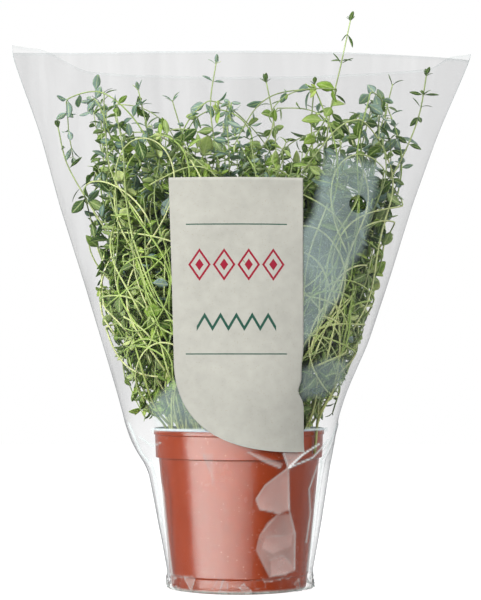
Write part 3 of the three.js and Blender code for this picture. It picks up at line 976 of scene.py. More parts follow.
def add_blade(mesh, leaf, wide, tone, bend, fold, roll, twist):
    """Add one leaf: bend curls it lengthwise, fold and roll shape it across, twist turns its blade."""
    root, onward, across, face, long = leaf
    s, c, w, under = BLADE.T
    half = wide / 2 * w
    turn = twist * s
    flat = half * c
    lift = half * (fold * np.abs(c) - roll * c**4) - bend * long * s**2 - under * BLADE_THICK
    y = flat * np.cos(turn) - lift * np.sin(turn) * 0.4
    z = flat * np.sin(turn) * 0.5 + lift
    x = long * (s - 0.25 * bend * s**2)
    points = root + np.outer(x, onward) + np.outer(y, across) + np.outer(z, face)
    mesh.add(points, BLADE_FACES, BLADE_FINISH, tone, 1 - s * 0.3, np.column_stack((s, c * 0.5 + 0.5)))


# %% [markdown]
# ## Leaves on a stem
# Thyme bears its leaves in pairs, each pair turned a quarter from the last, with a tuft of very small
# leaves in many of the corners between leaf and stem. The leaves of the solids come first, each exactly in
# its place. Between them go the others, closer together and narrower towards the tip, wherever the film
# leaves room.

# %% Dress a stem with leaves
PAIR_APART = 15
TUFT_SHARE = 0.2
ROLL = 1.25  # radians, the most that a stalk turns its blade
COOL_TONE, MOST_TONE = 1.35, 1.4  # 0 to 1 is dark to yellowish green, and higher is bluish


def blade_looks(draw, tone, long, share, narrow=1.0):
    """Width and curl of one leaf: rounder low on the stem, longer and narrower near its tip."""
    ratio = lerp(0.66, 0.36, share) * (0.82 + 0.34 * draw()) * narrow
    return {
        "wide": long * ratio,
        "tone": limit(tone + 0.4 * (draw() - 0.5), 0, MOST_TONE),
        "bend": 0.04 + 0.36 * draw(),
        "fold": 0.15 + 0.4 * draw(),
        "roll": 0.08 + 0.25 * draw(),
        "twist": (draw() - 0.5) * 0.9,
    }


def drooped(leaf, amount):
    """The leaf hanging down a little by its own weight."""
    root, onward, across, face, long = leaf
    onward = unit(onward - np.array((0, 0, amount)))
    across = unit(across - across @ onward * onward)
    down = np.cross(onward, across)
    return root, onward, across, down * math.copysign(1, down @ face), long


def rolled(leaf, roll):
    """The leaf turned about its own length, as its stalk does towards the light."""
    root, onward, across, face, long = leaf
    c, s = math.cos(roll), math.sin(roll)
    return root, onward, across * c + face * s, face * c - across * s, long


def has_room(leaf, room=0.9):
    """Whether the leaf's tip and both its sides stay inside the film and clear of the rim."""
    long = leaf[4]
    sides = [leaf_point(leaf, 0.55 * long, side * long, 0) for side in (-0.28, 0.28)]
    places = [leaf_point(leaf, long, 0, -0.1 * long), *sides]
    return all(np.linalg.norm(kept(place, room) - place) < 0.3 for place in places)


def add_pairs(mesh, line, draw, first, long_low, long_tip, tone, apart=PAIR_APART, narrow=1.0):
    """Pairs of leaves along a line, closer together towards its tip, with tufts in some corners."""
    frames = frames_of(line)
    length = sum(np.linalg.norm(b - a) for a, b in zip(line, line[1:]))
    count = max(2, round(length * (1 - first) / apart))
    start = draw() * QUARTER
    tuft_tone = tone if tone > 1 else limit(tone + 0.25, 0, 1)
    for k in range(count):
        near_tip = k / count
        share = 1 - (1 - first) * (1 - (k + 0.4 * draw()) / count) ** 1.12
        here = along(frames, limit(share, 0, 1))
        long = lerp(long_low, long_tip, near_tip) * (0.72 + 0.5 * draw())
        lean = math.radians(lerp(80, 56, near_tip**2) + 44 * (draw() - 0.5))
        weight = 0.7 * draw()
        for half in (0, 2):
            turn = start + (k + half) * QUARTER + 0.6 * (draw() - 0.5)
            leaf = leaf_frame(here, turn, lean + 0.4 * (draw() - 0.5), long * (0.9 + 0.2 * draw()))
            leaf = rolled(drooped(leaf, weight), ROLL * (2 * draw() - 1))
            if has_room(leaf):
                add_blade(mesh, leaf, **blade_looks(draw, tone, leaf[4], near_tip, narrow))
        if draw() < TUFT_SHARE:
            for quarter in range(4):
                small = long * (0.34 + 0.3 * draw())
                turn = start + (k + 1 + quarter) * QUARTER + draw()
                leaf = leaf_frame(here, turn, 0.45 + 0.5 * draw(), small)
                leaf = rolled(leaf, ROLL * (draw() - 0.5))
                if has_room(leaf):
                    add_blade(mesh, leaf, **blade_looks(draw, tuft_tone, small, 0.2))
    add_tip(mesh, frames, draw, long_tip, tone, narrow)


def add_tip(mesh, frames, draw, long, tone, narrow):
    """The young leaves at the end of a stem: narrow, and still folded up along it."""
    here = along(frames, 1)
    start = 2 * math.pi * draw()
    for quarter, size in ((0, 1.0), (2, 0.9), (1, 0.5)):
        young = size * long * (0.4 + 0.35 * draw())
        leaf = leaf_frame(here, start + quarter * QUARTER, 0.4 + 0.7 * draw(), young)
        if has_room(leaf):
            add_blade(mesh, leaf, **blade_looks(draw, tone - 0.2, young, 1.0, 0.9 * narrow))


# %% [markdown]
# ## Finishes of stem and leaf
# The tone of each leaf was stored on its points when it was made. The finish turns it into a green between
# dark and yellowish, or a bluish one on some of the high sprigs, then lightens the midrib and a few side
# veins. The underside is paler and duller, and light glows a little through both.

# %% Materials of the thyme
def build_vein_lines():
    """A light midrib and faint side veins from the shares along and across a blade."""
    group, given, out = new_group(
        "vein lines",
        [("Along", "NodeSocketFloat", 0.5), ("Across", "NodeSocketFloat", 0.5)],
        [("Rib", "NodeSocketFloat"), ("Veins", "NodeSocketFloat")],
    )
    off = maths(group, "ABSOLUTE", minus(group, given["Across"], 0.5))
    rib = ranged(group, off, 0.02, 0.09, 1.0, 0.0, smooth=True)
    slanted = minus(group, times(group, given["Along"], 5.0), times(group, off, 3.4))
    wave = maths(group, "ABSOLUTE", minus(group, maths(group, "FRACT", slanted), 0.5))
    group.links.new(rib, out["Rib"])
    group.links.new(ranged(group, wave, 0.06, 0.2, 1.0, 0.0, smooth=True), out["Veins"])
    return group


VEIN_LINES = build_vein_lines()


def leaf_finish(name, dark, middle, light, cool, rib_colour, roughness):
    material, tree, shader = new_material(name)
    tone, lengthwise, crosswise = (stored_value(tree, key) for key in ("tone", "blade_along", "blade_across"))
    colour = mix_colour(tree, ranged(tree, tone, 0.0, 0.5), dark, middle)
    colour = mix_colour(tree, ranged(tree, tone, 0.5, 1.0), colour, light)
    colour = mix_colour(tree, ranged(tree, tone, 1.0, 1.2), colour, cool)
    lines = use_group(tree, VEIN_LINES, Along=lengthwise, Across=crosswise)
    colour = mix_colour(tree, times(tree, lines["Rib"], 0.5), colour, rib_colour)
    colour = mix_colour(tree, times(tree, lines["Veins"], 0.16), colour, rib_colour)
    clouded = use_group(tree, CLOUDY_TONE, Place=object_place(tree), Colour=colour, Size=260.0, Strength=0.22)
    set_inputs(tree, shader, {
        "Base Color": clouded["Colour"],
        "Roughness": ranged(tree, clouded["Value"], 0.8, 1.5, roughness - 0.06, roughness + 0.08),
        "Specular IOR Level": 0.42,
        "Subsurface Weight": 0.22,
        "Subsurface Radius": (0.7, 1.0, 0.25),
        "Subsurface Scale": 0.0012,
    })
    return material


def stem_finish():
    material, tree, shader = new_material("thyme stem")
    age, tone = stored_value(tree, "age"), stored_value(tree, "tone")
    fresh = mix_colour(tree, ranged(tree, tone, 0.0, 0.5), srgb(222, 228, 166), srgb(164, 188, 104))
    colour = mix_colour(tree, ranged(tree, age, 0.05, 0.45, smooth=True), srgb(158, 174, 118), fresh)
    colour = mix_colour(tree, ranged(tree, age, 0.62, 0.98, smooth=True), colour, srgb(172, 178, 108))
    clouded = use_group(tree, CLOUDY_TONE, Place=object_place(tree), Colour=colour, Size=140.0, Strength=0.3)
    set_inputs(tree, shader, {
        "Base Color": clouded["Colour"],
        "Roughness": ranged(tree, clouded["Value"], 0.8, 1.5, 0.42, 0.6),
        "Subsurface Weight": 0.15,
        "Subsurface Radius": (0.7, 1.0, 0.3),
        "Subsurface Scale": 0.001,
    })
    return material


THYME_FINISHES = [
    leaf_finish(
        "thyme leaf", dark=srgb(40, 70, 22), middle=srgb(124, 156, 58), light=srgb(180, 204, 104),
        cool=srgb(94, 120, 114), rib_colour=srgb(198, 214, 136), roughness=0.4,
    ),
    leaf_finish(
        "thyme leaf underside", dark=srgb(58, 86, 42), middle=srgb(158, 180, 112), light=srgb(200, 214, 140),
        cool=srgb(128, 150, 144), rib_colour=srgb(214, 226, 164), roughness=0.55,
    ),
    stem_finish(),
]


# %% Replace each solid stem by its fine twin
def make_fine_stem(number, name, line, shoots, leaves):
    draw = draws(4000 + number)
    mesh = Mesh()
    tone = 0.1 + 0.6 * draw()
    if line[-1][2] > 235:
        tone = COOL_TONE if draw() < 0.5 else 0.4 * tone
    tall = int(name[-2:]) <= len(TALL_TIPS)
    if tall and (abs(line[-1][0]) > 80 or line[-1][2] > MOUTH):
        tone = -0.2
    fine = smooth_line(line)
    add_tube(mesh, fine, FINE_ROOT_RADIUS, FINE_TIP_RADIUS, tone)
    fine_shoots = [smooth_line(shoot) for shoot in shoots]
    for shoot in fine_shoots:
        add_tube(mesh, shoot, 0.55, 0.4, tone)
    width = 0.34 if tall else 0.5
    for leaf in leaves:
        looks = blade_looks(draw, tone, leaf[4], 0.5)
        looks.update(wide=width * leaf[4], twist=0.3 * (draw() - 0.5))
        add_blade(mesh, leaf, **looks)
    add_pairs(mesh, fine, draw, 0.2, 11.2, 9.6, tone, apart=19 if tall else 13, narrow=0.7 if tall else 1.0)
    for shoot in fine_shoots:
        add_pairs(mesh, shoot, draw, 0.35, 5.6, 6.2, tone + 0.1, apart=8)
    piece = mesh.build(f"fine_stem_{name[-2:]}", THYME_FINISHES)
    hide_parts(name)
    return piece


fine_stems = [make_fine_stem(number, *stem) for number, stem in enumerate(grown)]
print("fine stems:", len(fine_stems), "faces:", sum(len(piece.data.polygons) for piece in fine_stems))

# %% [markdown]
# ## The sprigs between the stems
# The solids hold the main stems only. A grown pot has several times as many sprigs, thinner and curlier,
# and they make the plant look full. They use the same kind of line, but start from anywhere in the peat and
# are gathered in a few bundles, so that the list of pieces stays short.

# %% Grow the extra sprigs
RISERS, HANGERS, CURLS = 198, 50, 28
SPRIG_BUNDLES = 8
STRIDE = 5.0
MOST_STRIDES = 62
STRIDES_BEFORE_SOIL, STRIDES_BEFORE_RIM = 3, 8
TOP_OF_SPRIGS = 302
SPRIG_CLEAR = 2.2
LOWEST_HANGING = 107
SPRIG_ROOM = [  # height, left edge, right edge
    (100, -55, 52), (115, -64, 62), (145, -76, 75), (175, -83, 82),
    (213, -88, 88), (240, -94, 99), (280, -100, 107), (300, -100, 110),
]
SPRIG_TOPS = [  # across, height
    (-95, 276), (-60, 274), (-25, 287), (12, 281), (45, 288), (75, 298), (97, 294),
]


def sprig_tip(n, kind):
    def part(step):
        return (n * step + 0.27) % 1

    off = 2 * part(ACROSS_STEP) - 1
    if kind == "hanger":
        z = lerp(103, 225, part(HEIGHT_STEP))
        off = math.copysign(0.62 + 0.36 * abs(off), off)
    elif kind == "riser":
        off = math.copysign(abs(off) ** 1.12, off)
        top = at_height(SPRIG_TOPS, lerp(-88, 95, 0.5 + 0.5 * off))[0]
        z = lerp(206, top, part(HEIGHT_STEP) ** 0.78)
    else:
        z = lerp(104, 134, part(HEIGHT_STEP))
    left, right = at_height(SPRIG_ROOM, z)
    deep = at_height(FILM, z)[2] * 0.92
    depth = part(DEPTH_STEP) * (0.45 if kind == "curl" else 1)
    return np.array((lerp(left, right, 0.5 + 0.5 * off), lerp(-deep, deep, depth), z))


def wander(start, heading, goals, draw):
    """A line that steers towards each goal in turn, never turning sharply, and swaying on the way."""
    def wave():
        return 0.02 + 0.1 * draw(), 0.1 + 0.4 * draw(), 2 * math.pi * draw()

    sways = [[wave(), wave()] for _ in range(3)]
    firm, within = 0.1 + 0.14 * draw(), 0.8 + 0.27 * draw()
    points = [start]
    goals = list(goals)
    for i in range(MOST_STRIDES):
        away = goals[0] - points[-1]
        far = math.sqrt(away @ away)
        if far < 12:
            goals.pop(0)
            if not goals:
                break
            continue
        push = [sum(size * math.sin(rate * i + since) for size, rate, since in axis) for axis in sways]
        heading = unit(heading + away / far * firm + np.array(push))
        place = points[-1] + heading * STRIDE
        if i > STRIDES_BEFORE_SOIL:
            place[2] = max(place[2], soil_height(place[0], place[1]) + 2)
        left, right = at_height(SPRIG_ROOM, place[2])
        x = limit(place[0], left * within, right * within)
        place = kept(np.array((x, place[1], min(place[2], TOP_OF_SPRIGS))), SPRIG_CLEAR)
        step = place - points[-1]
        if step @ step < 1:
            break
        heading = unit(step)
        points.append(place)
        if i > STRIDES_BEFORE_RIM and place[2] < LOWEST_HANGING and heading[2] < 0:
            break
    return points


def sprig_line(n, kind):
    draw = draws(7000 + n)

    def spread(size):
        return (draw() * 2 - 1) * size

    tip = sprig_tip(n, kind)
    turn, out = 2 * math.pi * draw(), 43 * math.sqrt(draw())
    root = lerp(np.array((out * math.cos(turn), out * math.sin(turn))), tip[:2] * 0.43, 0.8)
    if kind == "curl":
        root = tip[:2] * 0.7
    start = np.array((root[0], root[1], soil_height(*root) - 3))
    lean = np.array((tip[0] - root[0], tip[1] - root[1], 0)) / 140
    heading = unit(np.array((lean[0] + spread(0.24), lean[1] + spread(0.24), 1.0)))
    goals = [tip]
    if kind == "hanger":
        over = np.array((lerp(root[0], tip[0], 0.8) + spread(16), tip[1] + spread(14), 0))
        over[2] = max(tip[2] + 18, lerp(140, 215, draw()))
        goals = [over, tip]
    elif kind == "curl":
        goals = [tip + np.array((spread(14), 0, 16 + 14 * draw())), tip]
    else:
        if tip[1] < 8 and draw() < 0.45:
            share = lerp(0.3, 0.6, draw())
            z = lerp(100, tip[2], share)
            x = lerp(root[0], tip[0], share) + spread(6)
            goals = [np.array((x, -0.85 * at_height(FILM, z)[2], z)), tip]
        if draw() < 0.5:
            goals.insert(-1, tip * (0.9, 1, 1) + np.array((spread(12), spread(10), -22 - 30 * draw())))
    return wander(start, heading, goals, draw)


SPRIG_LOOKS = {  # bare share of the stem, most more of it, leaf length low and near the tip, least distance
    "riser": (0.38, 0.32, 12.4, 9.0, 7.6),
    "hanger": (0.15, 0.3, 12.6, 10.4, 11.5),
    "curl": (0.1, 0.2, 8.6, 7.4, 9.0),
}


def make_sprigs():
    bundles = [Mesh() for _ in range(SPRIG_BUNDLES)]
    kinds = ["riser"] * RISERS + ["hanger"] * HANGERS + ["curl"] * CURLS
    for n, kind in enumerate(kinds):
        bare, barer, low, high, apart = SPRIG_LOOKS[kind]
        draw = draws(8000 + n)
        mesh = bundles[n % SPRIG_BUNDLES]
        tone = 0.74 * draw() ** 1.6
        line = smooth_line(sprig_line(n, kind), steps=2)
        if line[-1][2] > 232 and draw() < (0.56 if line[-1][1] > 0 else 0.22):
            tone = COOL_TONE
        add_tube(mesh, line, 0.88, 0.34, tone, sides=5)
        add_pairs(mesh, line, draw, bare + barer * draw(), low, high, tone, apart=apart + 5 * draw())
    return [mesh.build(f"thyme_sprigs_{k + 1}", THYME_FINISHES) for k, mesh in enumerate(bundles)]


sprigs = make_sprigs()
print("sprigs:", RISERS + HANGERS + CURLS, "faces:", sum(len(piece.data.polygons) for piece in sprigs))


# %% [markdown]
# ## The clear sleeve
# Clear film is seen only by what it does to light: it mirrors the studio where it faces aside, and its welded
# seams look white. Its bright creases, whitish facets and bluish patches are painted highlights and
# painted reflections in its colour. So the sheet is a fine net of points over the stations above, pushed
# in and out by long flutes, by creases round the pot, and by the crumpled hem under it. The same function
# places the points of the printed panel, which lies on the film.

# %% Where the film runs
FILM_MIDDLE = 0.3
FILM_THICK = 0.1
VENT_X, VENT_Z, VENT_RADIUS = 71.6, 233.4, 5.4
FRONT_COLUMNS, BACK_COLUMNS = 250, 110
MOUTH_FLARE = 2.6

CREASES = [  # points on the front, across and up in millimetres, height of the fold, brightness of its painted highlight, half width
    ([(29.3, 75.8), (38.3, 83.4), (48, 89)], 0.9, 1.0, 0.5),
    ([(29.3, 75.8), (44, 81), (54, 91)], 0.7, 0.9, 0.5),
    ([(29, 75.5), (15.4, 65.4), (10.2, 57.3), (12.4, 51.4), (24.3, 48.4)], 0.5, 0.2, 0.5),
    ([(29.3, 75.8), (29.9, 50.6), (33.5, 35.8), (33.2, 14)], 0.6, 0.35, 0.5),
    ([(22.8, 48), (12.4, 35.8), (10.4, 27), (13.9, 19.6), (18.4, 10.7), (33.2, 13.4)], 0.3, 0.1, 0.5),
    ([(15.4, 34.4), (32.4, 35.8)], 0.3, 0.15, 0.4),
    ([(18.4, 21), (26.5, 23.3), (33.5, 15.1)], 0.3, 0.15, 0.4),
    ([(5, 85.4), (15.4, 79.5), (24.3, 75.8)], 0.3, 0.25, 0.6),
    ([(26.5, 83.9), (29.3, 75.8)], 0.3, 0.4, 0.5),
    ([(-66.9, 101), (-59.2, 83.2), (-52.7, 76.1)], 0.8, 0.8, 0.6),
    ([(-60, 93), (-52, 88), (-47, 90)], 0.5, 0.4, 0.5),
    ([(-49.7, 75.5), (-46, 60), (-43.5, 33), (-40.8, 10)], 0.5, 0.55, 0.9),
    ([(-52.7, 79), (-50, 62), (-46.5, 38)], 0.4, 0.35, 0.7),
    ([(-21, 83.4), (-16, 72), (-15.5, 66)], 0.2, 0.12, 0.5),
    ([(50, 78), (46.8, 57), (44, 33), (41.5, 12)], 0.5, 0.55, 0.8),
    ([(47, 76), (42, 62), (43, 48), (40.5, 30)], 0.5, 0.5, 0.5),
    ([(60, 100), (53, 84), (49, 78)], 0.6, 0.7, 0.6),
    # painted highlight: these two lines paint the pot's pale brim onto the film, with no fold
    ([(-52, 97.6), (-20, 98.4)], 0.0, 0.9, 0.6),
    ([(40, 98.4), (53, 97.6)], 0.0, 0.9, 0.6),
]
PAINTED_VEIL_REFLECTIONS = [  # patches of painted reflection where the creased film's facets mirror the light, and how strongly
    ([(29, 75.5), (15.4, 65.4), (10.2, 57.3), (12.4, 51.4), (19.8, 49.9), (24.3, 48.4), (29.9, 50.6)], 0.8),
    ([(22.8, 48), (16.9, 43.2), (12.4, 35.8), (10.4, 27), (13.9, 19.6), (18.4, 10.7), (27.2, 11.4),
      (33.5, 13.6), (33.2, 27), (33.5, 35.8), (30.2, 47.7)], 0.55),
    ([(15.4, 34.4), (32.4, 35.8), (31.7, 28.4), (19.8, 24), (13, 28)], 0.85),
    ([(18.4, 21), (26.5, 23.3), (33.5, 15.1), (28, 11.2), (18.6, 11)], 0.9),
    ([(26.5, 84.5), (38.3, 84), (29.5, 76.1)], 0.7),
    ([(5, 85.4), (12, 83.5), (25.8, 78), (24.3, 75.8), (15.4, 79.5)], 0.5),
    ([(-22, 84), (-15.4, 84), (-14.5, 66), (-17, 73)], 0.25),
]


def film_reach(z):
    """Reach, depth and point of the film at each height, with the stations' corners smoothed."""
    heights = np.array([station[0] for station in FILM])
    values = np.array([station[1:] for station in FILM])
    spread = np.linspace(-6, 6, 5)
    left, right, deep, point = (
        np.mean([np.interp(z + d, heights, column) for d in spread], axis=0) for column in values.T
    )
    flare = MOUTH_FLARE * soft_step(z, 270, 330)
    return left + flare, right + flare, deep, point


def flat_film(turn, z):
    left, right, deep, point = film_reach(z)
    reach = np.where(np.cos(turn) > 0, right, left)
    y = SEAM_GAP + deep * np.abs(np.sin(turn)) ** point
    return reach * np.cos(turn), np.where(np.sin(turn) < 0, -1, 1) * y


def soft_step(value, low, high):
    t = np.clip((value - low) / (high - low), 0, 1)
    return t * t * (3 - 2 * t)


def distance_to_line(x, z, line):
    best = np.full(np.shape(x), 1e9)
    for (ax, az), (bx, bz) in zip(line, line[1:]):
        ux, uz = bx - ax, bz - az
        t = np.clip(((x - ax) * ux + (z - az) * uz) / (ux * ux + uz * uz), 0, 1)
        best = np.minimum(best, np.hypot(x - ax - t * ux, z - az - t * uz))
    return best


def inside_polygon(x, z, corners):
    inside = np.zeros(np.shape(x), dtype=bool)
    for (ax, az), (bx, bz) in zip(corners, corners[1:] + corners[:1]):
        crosses = (az > z) != (bz > z)
        slope = (bx - ax) / (bz - az) if bz != az else 0
        inside ^= crosses & (x < ax + slope * (z - az))
    return inside


HEM_FOLDS = [(9, 0.31, 0.4), (17, -0.43, 2.6), (29, 0.2, 4.1), (43, -0.75, 1.7)]  # how many, slope, start


def crumple(turn, z):
    """Sharp-ridged folds, 0 to 1, like paper that was scrunched and let go."""
    folds = np.zeros(np.shape(turn))
    for k, (count, slope, since) in enumerate(HEM_FOLDS):
        bent = count * turn + slope * z + since + 1.4 * np.sin(3 * turn + k)
        folds += (1 - np.abs(np.sin(bent))) ** 2 / (k + 1.5)
    return np.clip(folds / 1.3, 0, 1)


HEM_TOP = 12
HEM_ROUND = 45  # millimetres of film per radian round the hem
HEM_FACETS, FACET_SEED = 84, 31


def hem_facets(turn, z):
    """Crumpled facets of the hem: a value for each facet, and how near a point is to a facet's edge."""
    draw = draws(FACET_SEED)
    seeds = [((2 * draw() - 1) * math.pi * HEM_ROUND, -1 + 14 * draw(), draw()) for _ in range(HEM_FACETS)]
    first, second = np.full(np.shape(turn), 1e9), np.full(np.shape(turn), 1e9)
    value = np.zeros(np.shape(turn))
    for along_hem, height, worth in seeds:
        off = np.abs((turn + math.pi) % (2 * math.pi) - math.pi - along_hem / HEM_ROUND)
        apart = np.hypot(np.minimum(off, 2 * math.pi - off) * HEM_ROUND, (z - height) * 1.3)
        value = np.where(apart < first, worth, value)
        second = np.where(apart < first, first, np.minimum(second, apart))
        first = np.minimum(first, apart)
    return value, np.exp(-(((second - first) / 0.6) ** 2))


def film_push(turn, z):
    """How far the film stands out from its even shape: flutes above, creases round the pot, crumpled hem."""
    x, y = flat_film(turn, z)
    across = np.cos(turn)
    side = np.where(np.sin(turn) < 0, 1.0, 2.3)
    rise = soft_step(z, 108, 300)
    flutes = (
        np.sin(7.1 * across * side + 0.011 * z + 0.6) * 0.9
        + np.sin(15.3 * across + 0.017 * z * side + 2.1) * 0.45
        + np.sin(31 * across - 0.02 * z + side) * 0.16
    )
    push = flutes * rise * np.abs(np.sin(turn)) ** 0.7
    low = 1 - soft_step(z, 3, HEM_TOP)
    facet, fold = hem_facets(turn, z)
    push += low * (0.5 + 1.2 * crumple(turn, z) + 1.4 * facet + 0.6 * fold)
    front = np.sin(turn) < 0
    for line, height, _, _ in CREASES:
        near = distance_to_line(x, z, line)
        push += front * height * (np.exp(-((near / 1.1) ** 2)) + 0.6 * np.exp(-((near / 4.0) ** 2)))
    return np.where(z < 100, np.maximum(push, -0.1), push)


def film_points(turn, z, out=0.0):
    """Points of the film in millimetres, a distance outside its inner face."""
    step = 0.01
    ax, ay = flat_film(turn - step, z)
    bx, by = flat_film(turn + step, z)
    x, y = flat_film(turn, z)
    tx, ty = bx - ax, by - ay
    size = np.hypot(tx, ty)
    push = film_push(turn, z) + out
    return np.stack((x + ty / size * push, y - tx / size * push, z + np.zeros_like(x)), axis=-1)


def mouth_height(turn):
    reach = np.abs(np.cos(turn))
    right = np.cos(turn) > 0
    front = np.where(right, FRONT_LIFT[1], FRONT_LIFT[0]) * reach**3
    back_right = BACK_LIFT[1] * soft_step(reach, 0.84, 0.93)
    back_left = BACK_LIFT[0] * soft_step(reach, 0.68, 0.9)
    back = np.where(right, back_right, back_left)
    return MOUTH + np.where(np.sin(turn) < 0, front, back)


# %% [markdown]
# Each point of the film also stores how much painted light it carries: bluish patches of painted
# reflection on the front, mostly low on the right; thin, bright painted highlights along the creases; and
# whitish painted reflections on the facets between them.

# %% Milky parts of the film
PAINTED_HAZE_REFLECTIONS = [  # bluish patches of painted reflection on the front, and how strongly
    ([(53, 264), (84.7, 257), (79.3, 227), (74, 205.7), (64.5, 192), (61, 178), (53.3, 168), (39.7, 150),
      (36, 145), (36, 214), (43.8, 225), (48, 241), (49.7, 257)], 1.0),
    ([(36, 133), (53.9, 140.6), (65.7, 138.3), (62.8, 124.6), (50.9, 118.7), (37, 116)], 0.7),
    ([(-54, 112), (-38, 128), (-22, 134), (-14, 122), (-16, 99), (-48, 99)], 0.6),
]


def soft_patch(x, z, corners, edge):
    """1 inside a patch and 0 outside it, with a soft edge between."""
    near = 0.5 * np.clip(distance_to_line(x, z, corners + corners[:1]) / edge, 0, 1)
    return np.where(inside_polygon(x, z, corners), 0.5 + near, 0.5 - near)


def film_marks(points, turn):
    """Values of the painted haze reflection, the painted veil reflection, and the painted crease highlights
    with the seams and edges, at film points.
    """
    x, z = points[..., 0], points[..., 2]
    front = np.sin(turn) < 0
    spots = zip(x.ravel(), z.ravel())
    cloud = np.array([noise.noise(Vector((a * 0.03, b * 0.03, 4))) for a, b in spots]).reshape(x.shape)
    # painted reflection: bluish patches on the front film
    haze_reflection = np.zeros_like(x)
    for corners, strength in PAINTED_HAZE_REFLECTIONS:
        haze_reflection = np.maximum(haze_reflection, front * soft_patch(x, z, corners, 2.4) * strength)
    haze_reflection *= np.clip(0.95 + 0.5 * cloud, 0.4, 1.2)
    # painted reflection: whitish facets of the creased front, pinkish where the pot shows through
    veil_reflection = np.zeros_like(x)
    for corners, strength in PAINTED_VEIL_REFLECTIONS:
        veil_reflection = np.maximum(veil_reflection, front * soft_patch(x, z, corners, 0.7) * strength)
    # painted highlights along the creases, as bright as their table gives
    crease_highlight_and_edges = np.zeros_like(x)
    for line, _, bright, half in CREASES:
        crease_highlight_and_edges = np.maximum(crease_highlight_and_edges, front * np.exp(-((distance_to_line(x, z, line) / half) ** 2)) * bright)
    # in the crumpled hem the facets get painted reflections, their folds painted highlights, and the bottom
    # edge a painted line
    facet, fold = hem_facets(turn, z)
    low = 1 - soft_step(z, HEM_TOP - 5, HEM_TOP)
    veil_reflection = np.maximum(veil_reflection, low * np.clip(1.6 * facet - 0.95, 0, 0.55))
    crease_highlight_and_edges = np.maximum(crease_highlight_and_edges, low * fold * np.clip(1.4 * facet - 0.5, 0.03, 1) * 0.6)
    crease_highlight_and_edges = np.maximum(crease_highlight_and_edges, (1 - soft_step(z, 1.0, 3.0)) * 0.7)
    seam = soft_step(np.abs(np.cos(turn)), 0.9988, 0.9998) * 0.7
    edge = soft_step(z, mouth_height(turn) - 1.6, mouth_height(turn) - 0.4) * 0.15
    return haze_reflection, veil_reflection, np.maximum(np.maximum(crease_highlight_and_edges, seam), edge)


# %% Build the sleeve
def film_heights():
    low = np.arange(0.8, 20, 0.8)
    middle = np.arange(20, 125, 1.0)
    high = np.linspace(125, MOUTH, 82)
    return np.concatenate((low, middle, high))


def cut_vent(points, faces):
    """Drops the faces inside the vent hole and draws the hole's edge onto a circle."""
    from_middle = np.hypot(points[:, 0] - VENT_X, points[:, 2] - VENT_Z)
    gone = (from_middle < VENT_RADIUS) & (points[:, 1] < 0)
    kept_faces = [face for face in faces if not any(gone[i] for i in face)]
    cut_faces = [face for face in faces if any(gone[i] for i in face)]
    rim = {i for face in cut_faces for i in face if not gone[i]}
    for i in rim:
        scale = VENT_RADIUS / from_middle[i]
        points[i, 0] = VENT_X + (points[i, 0] - VENT_X) * scale
        points[i, 2] = VENT_Z + (points[i, 2] - VENT_Z) * scale
    return kept_faces


def make_sleeve(finish):
    front = np.linspace(-math.pi, 0, FRONT_COLUMNS, endpoint=False)
    back = np.linspace(0, math.pi, BACK_COLUMNS, endpoint=False)
    turns = np.concatenate((front, back))
    heights = film_heights()
    turn, share = np.meshgrid(turns, np.arange(len(heights)))
    z = heights[share]
    lifted = mouth_height(turn) - MOUTH
    z = z + lifted * soft_step(z, 250, MOUTH)
    grid = film_points(turn, z, FILM_MIDDLE)
    haze_reflection, veil_reflection, crease_highlight_and_edges = film_marks(grid, turn)
    points = grid.reshape(-1, 3)
    columns = len(turns)
    faces = []
    for r in range(len(heights) - 1):
        for k in range(columns):
            j = (k + 1) % columns
            faces.append((r * columns + k, r * columns + j, (r + 1) * columns + j, (r + 1) * columns + k))
    faces = cut_vent(points, faces)
    sleeve = make_piece("clear_sleeve", points, faces, [finish])
    rear = soft_step(np.sin(turn), -0.02, 0.1)
    for key, values in (("haze_reflection", haze_reflection), ("veil_reflection", veil_reflection), ("crease_highlight_and_edges", crease_highlight_and_edges), ("rear", rear)):
        set_point_values(sleeve.data, key, values.ravel())
    loose = bmesh.new()
    loose.from_mesh(sleeve.data)
    bmesh.ops.delete(loose, geom=[v for v in loose.verts if not v.link_faces], context="VERTS")
    loose.to_mesh(sleeve.data)
    loose.free()
    thicken(sleeve, FILM_THICK)
    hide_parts("sleeve")
    return sleeve
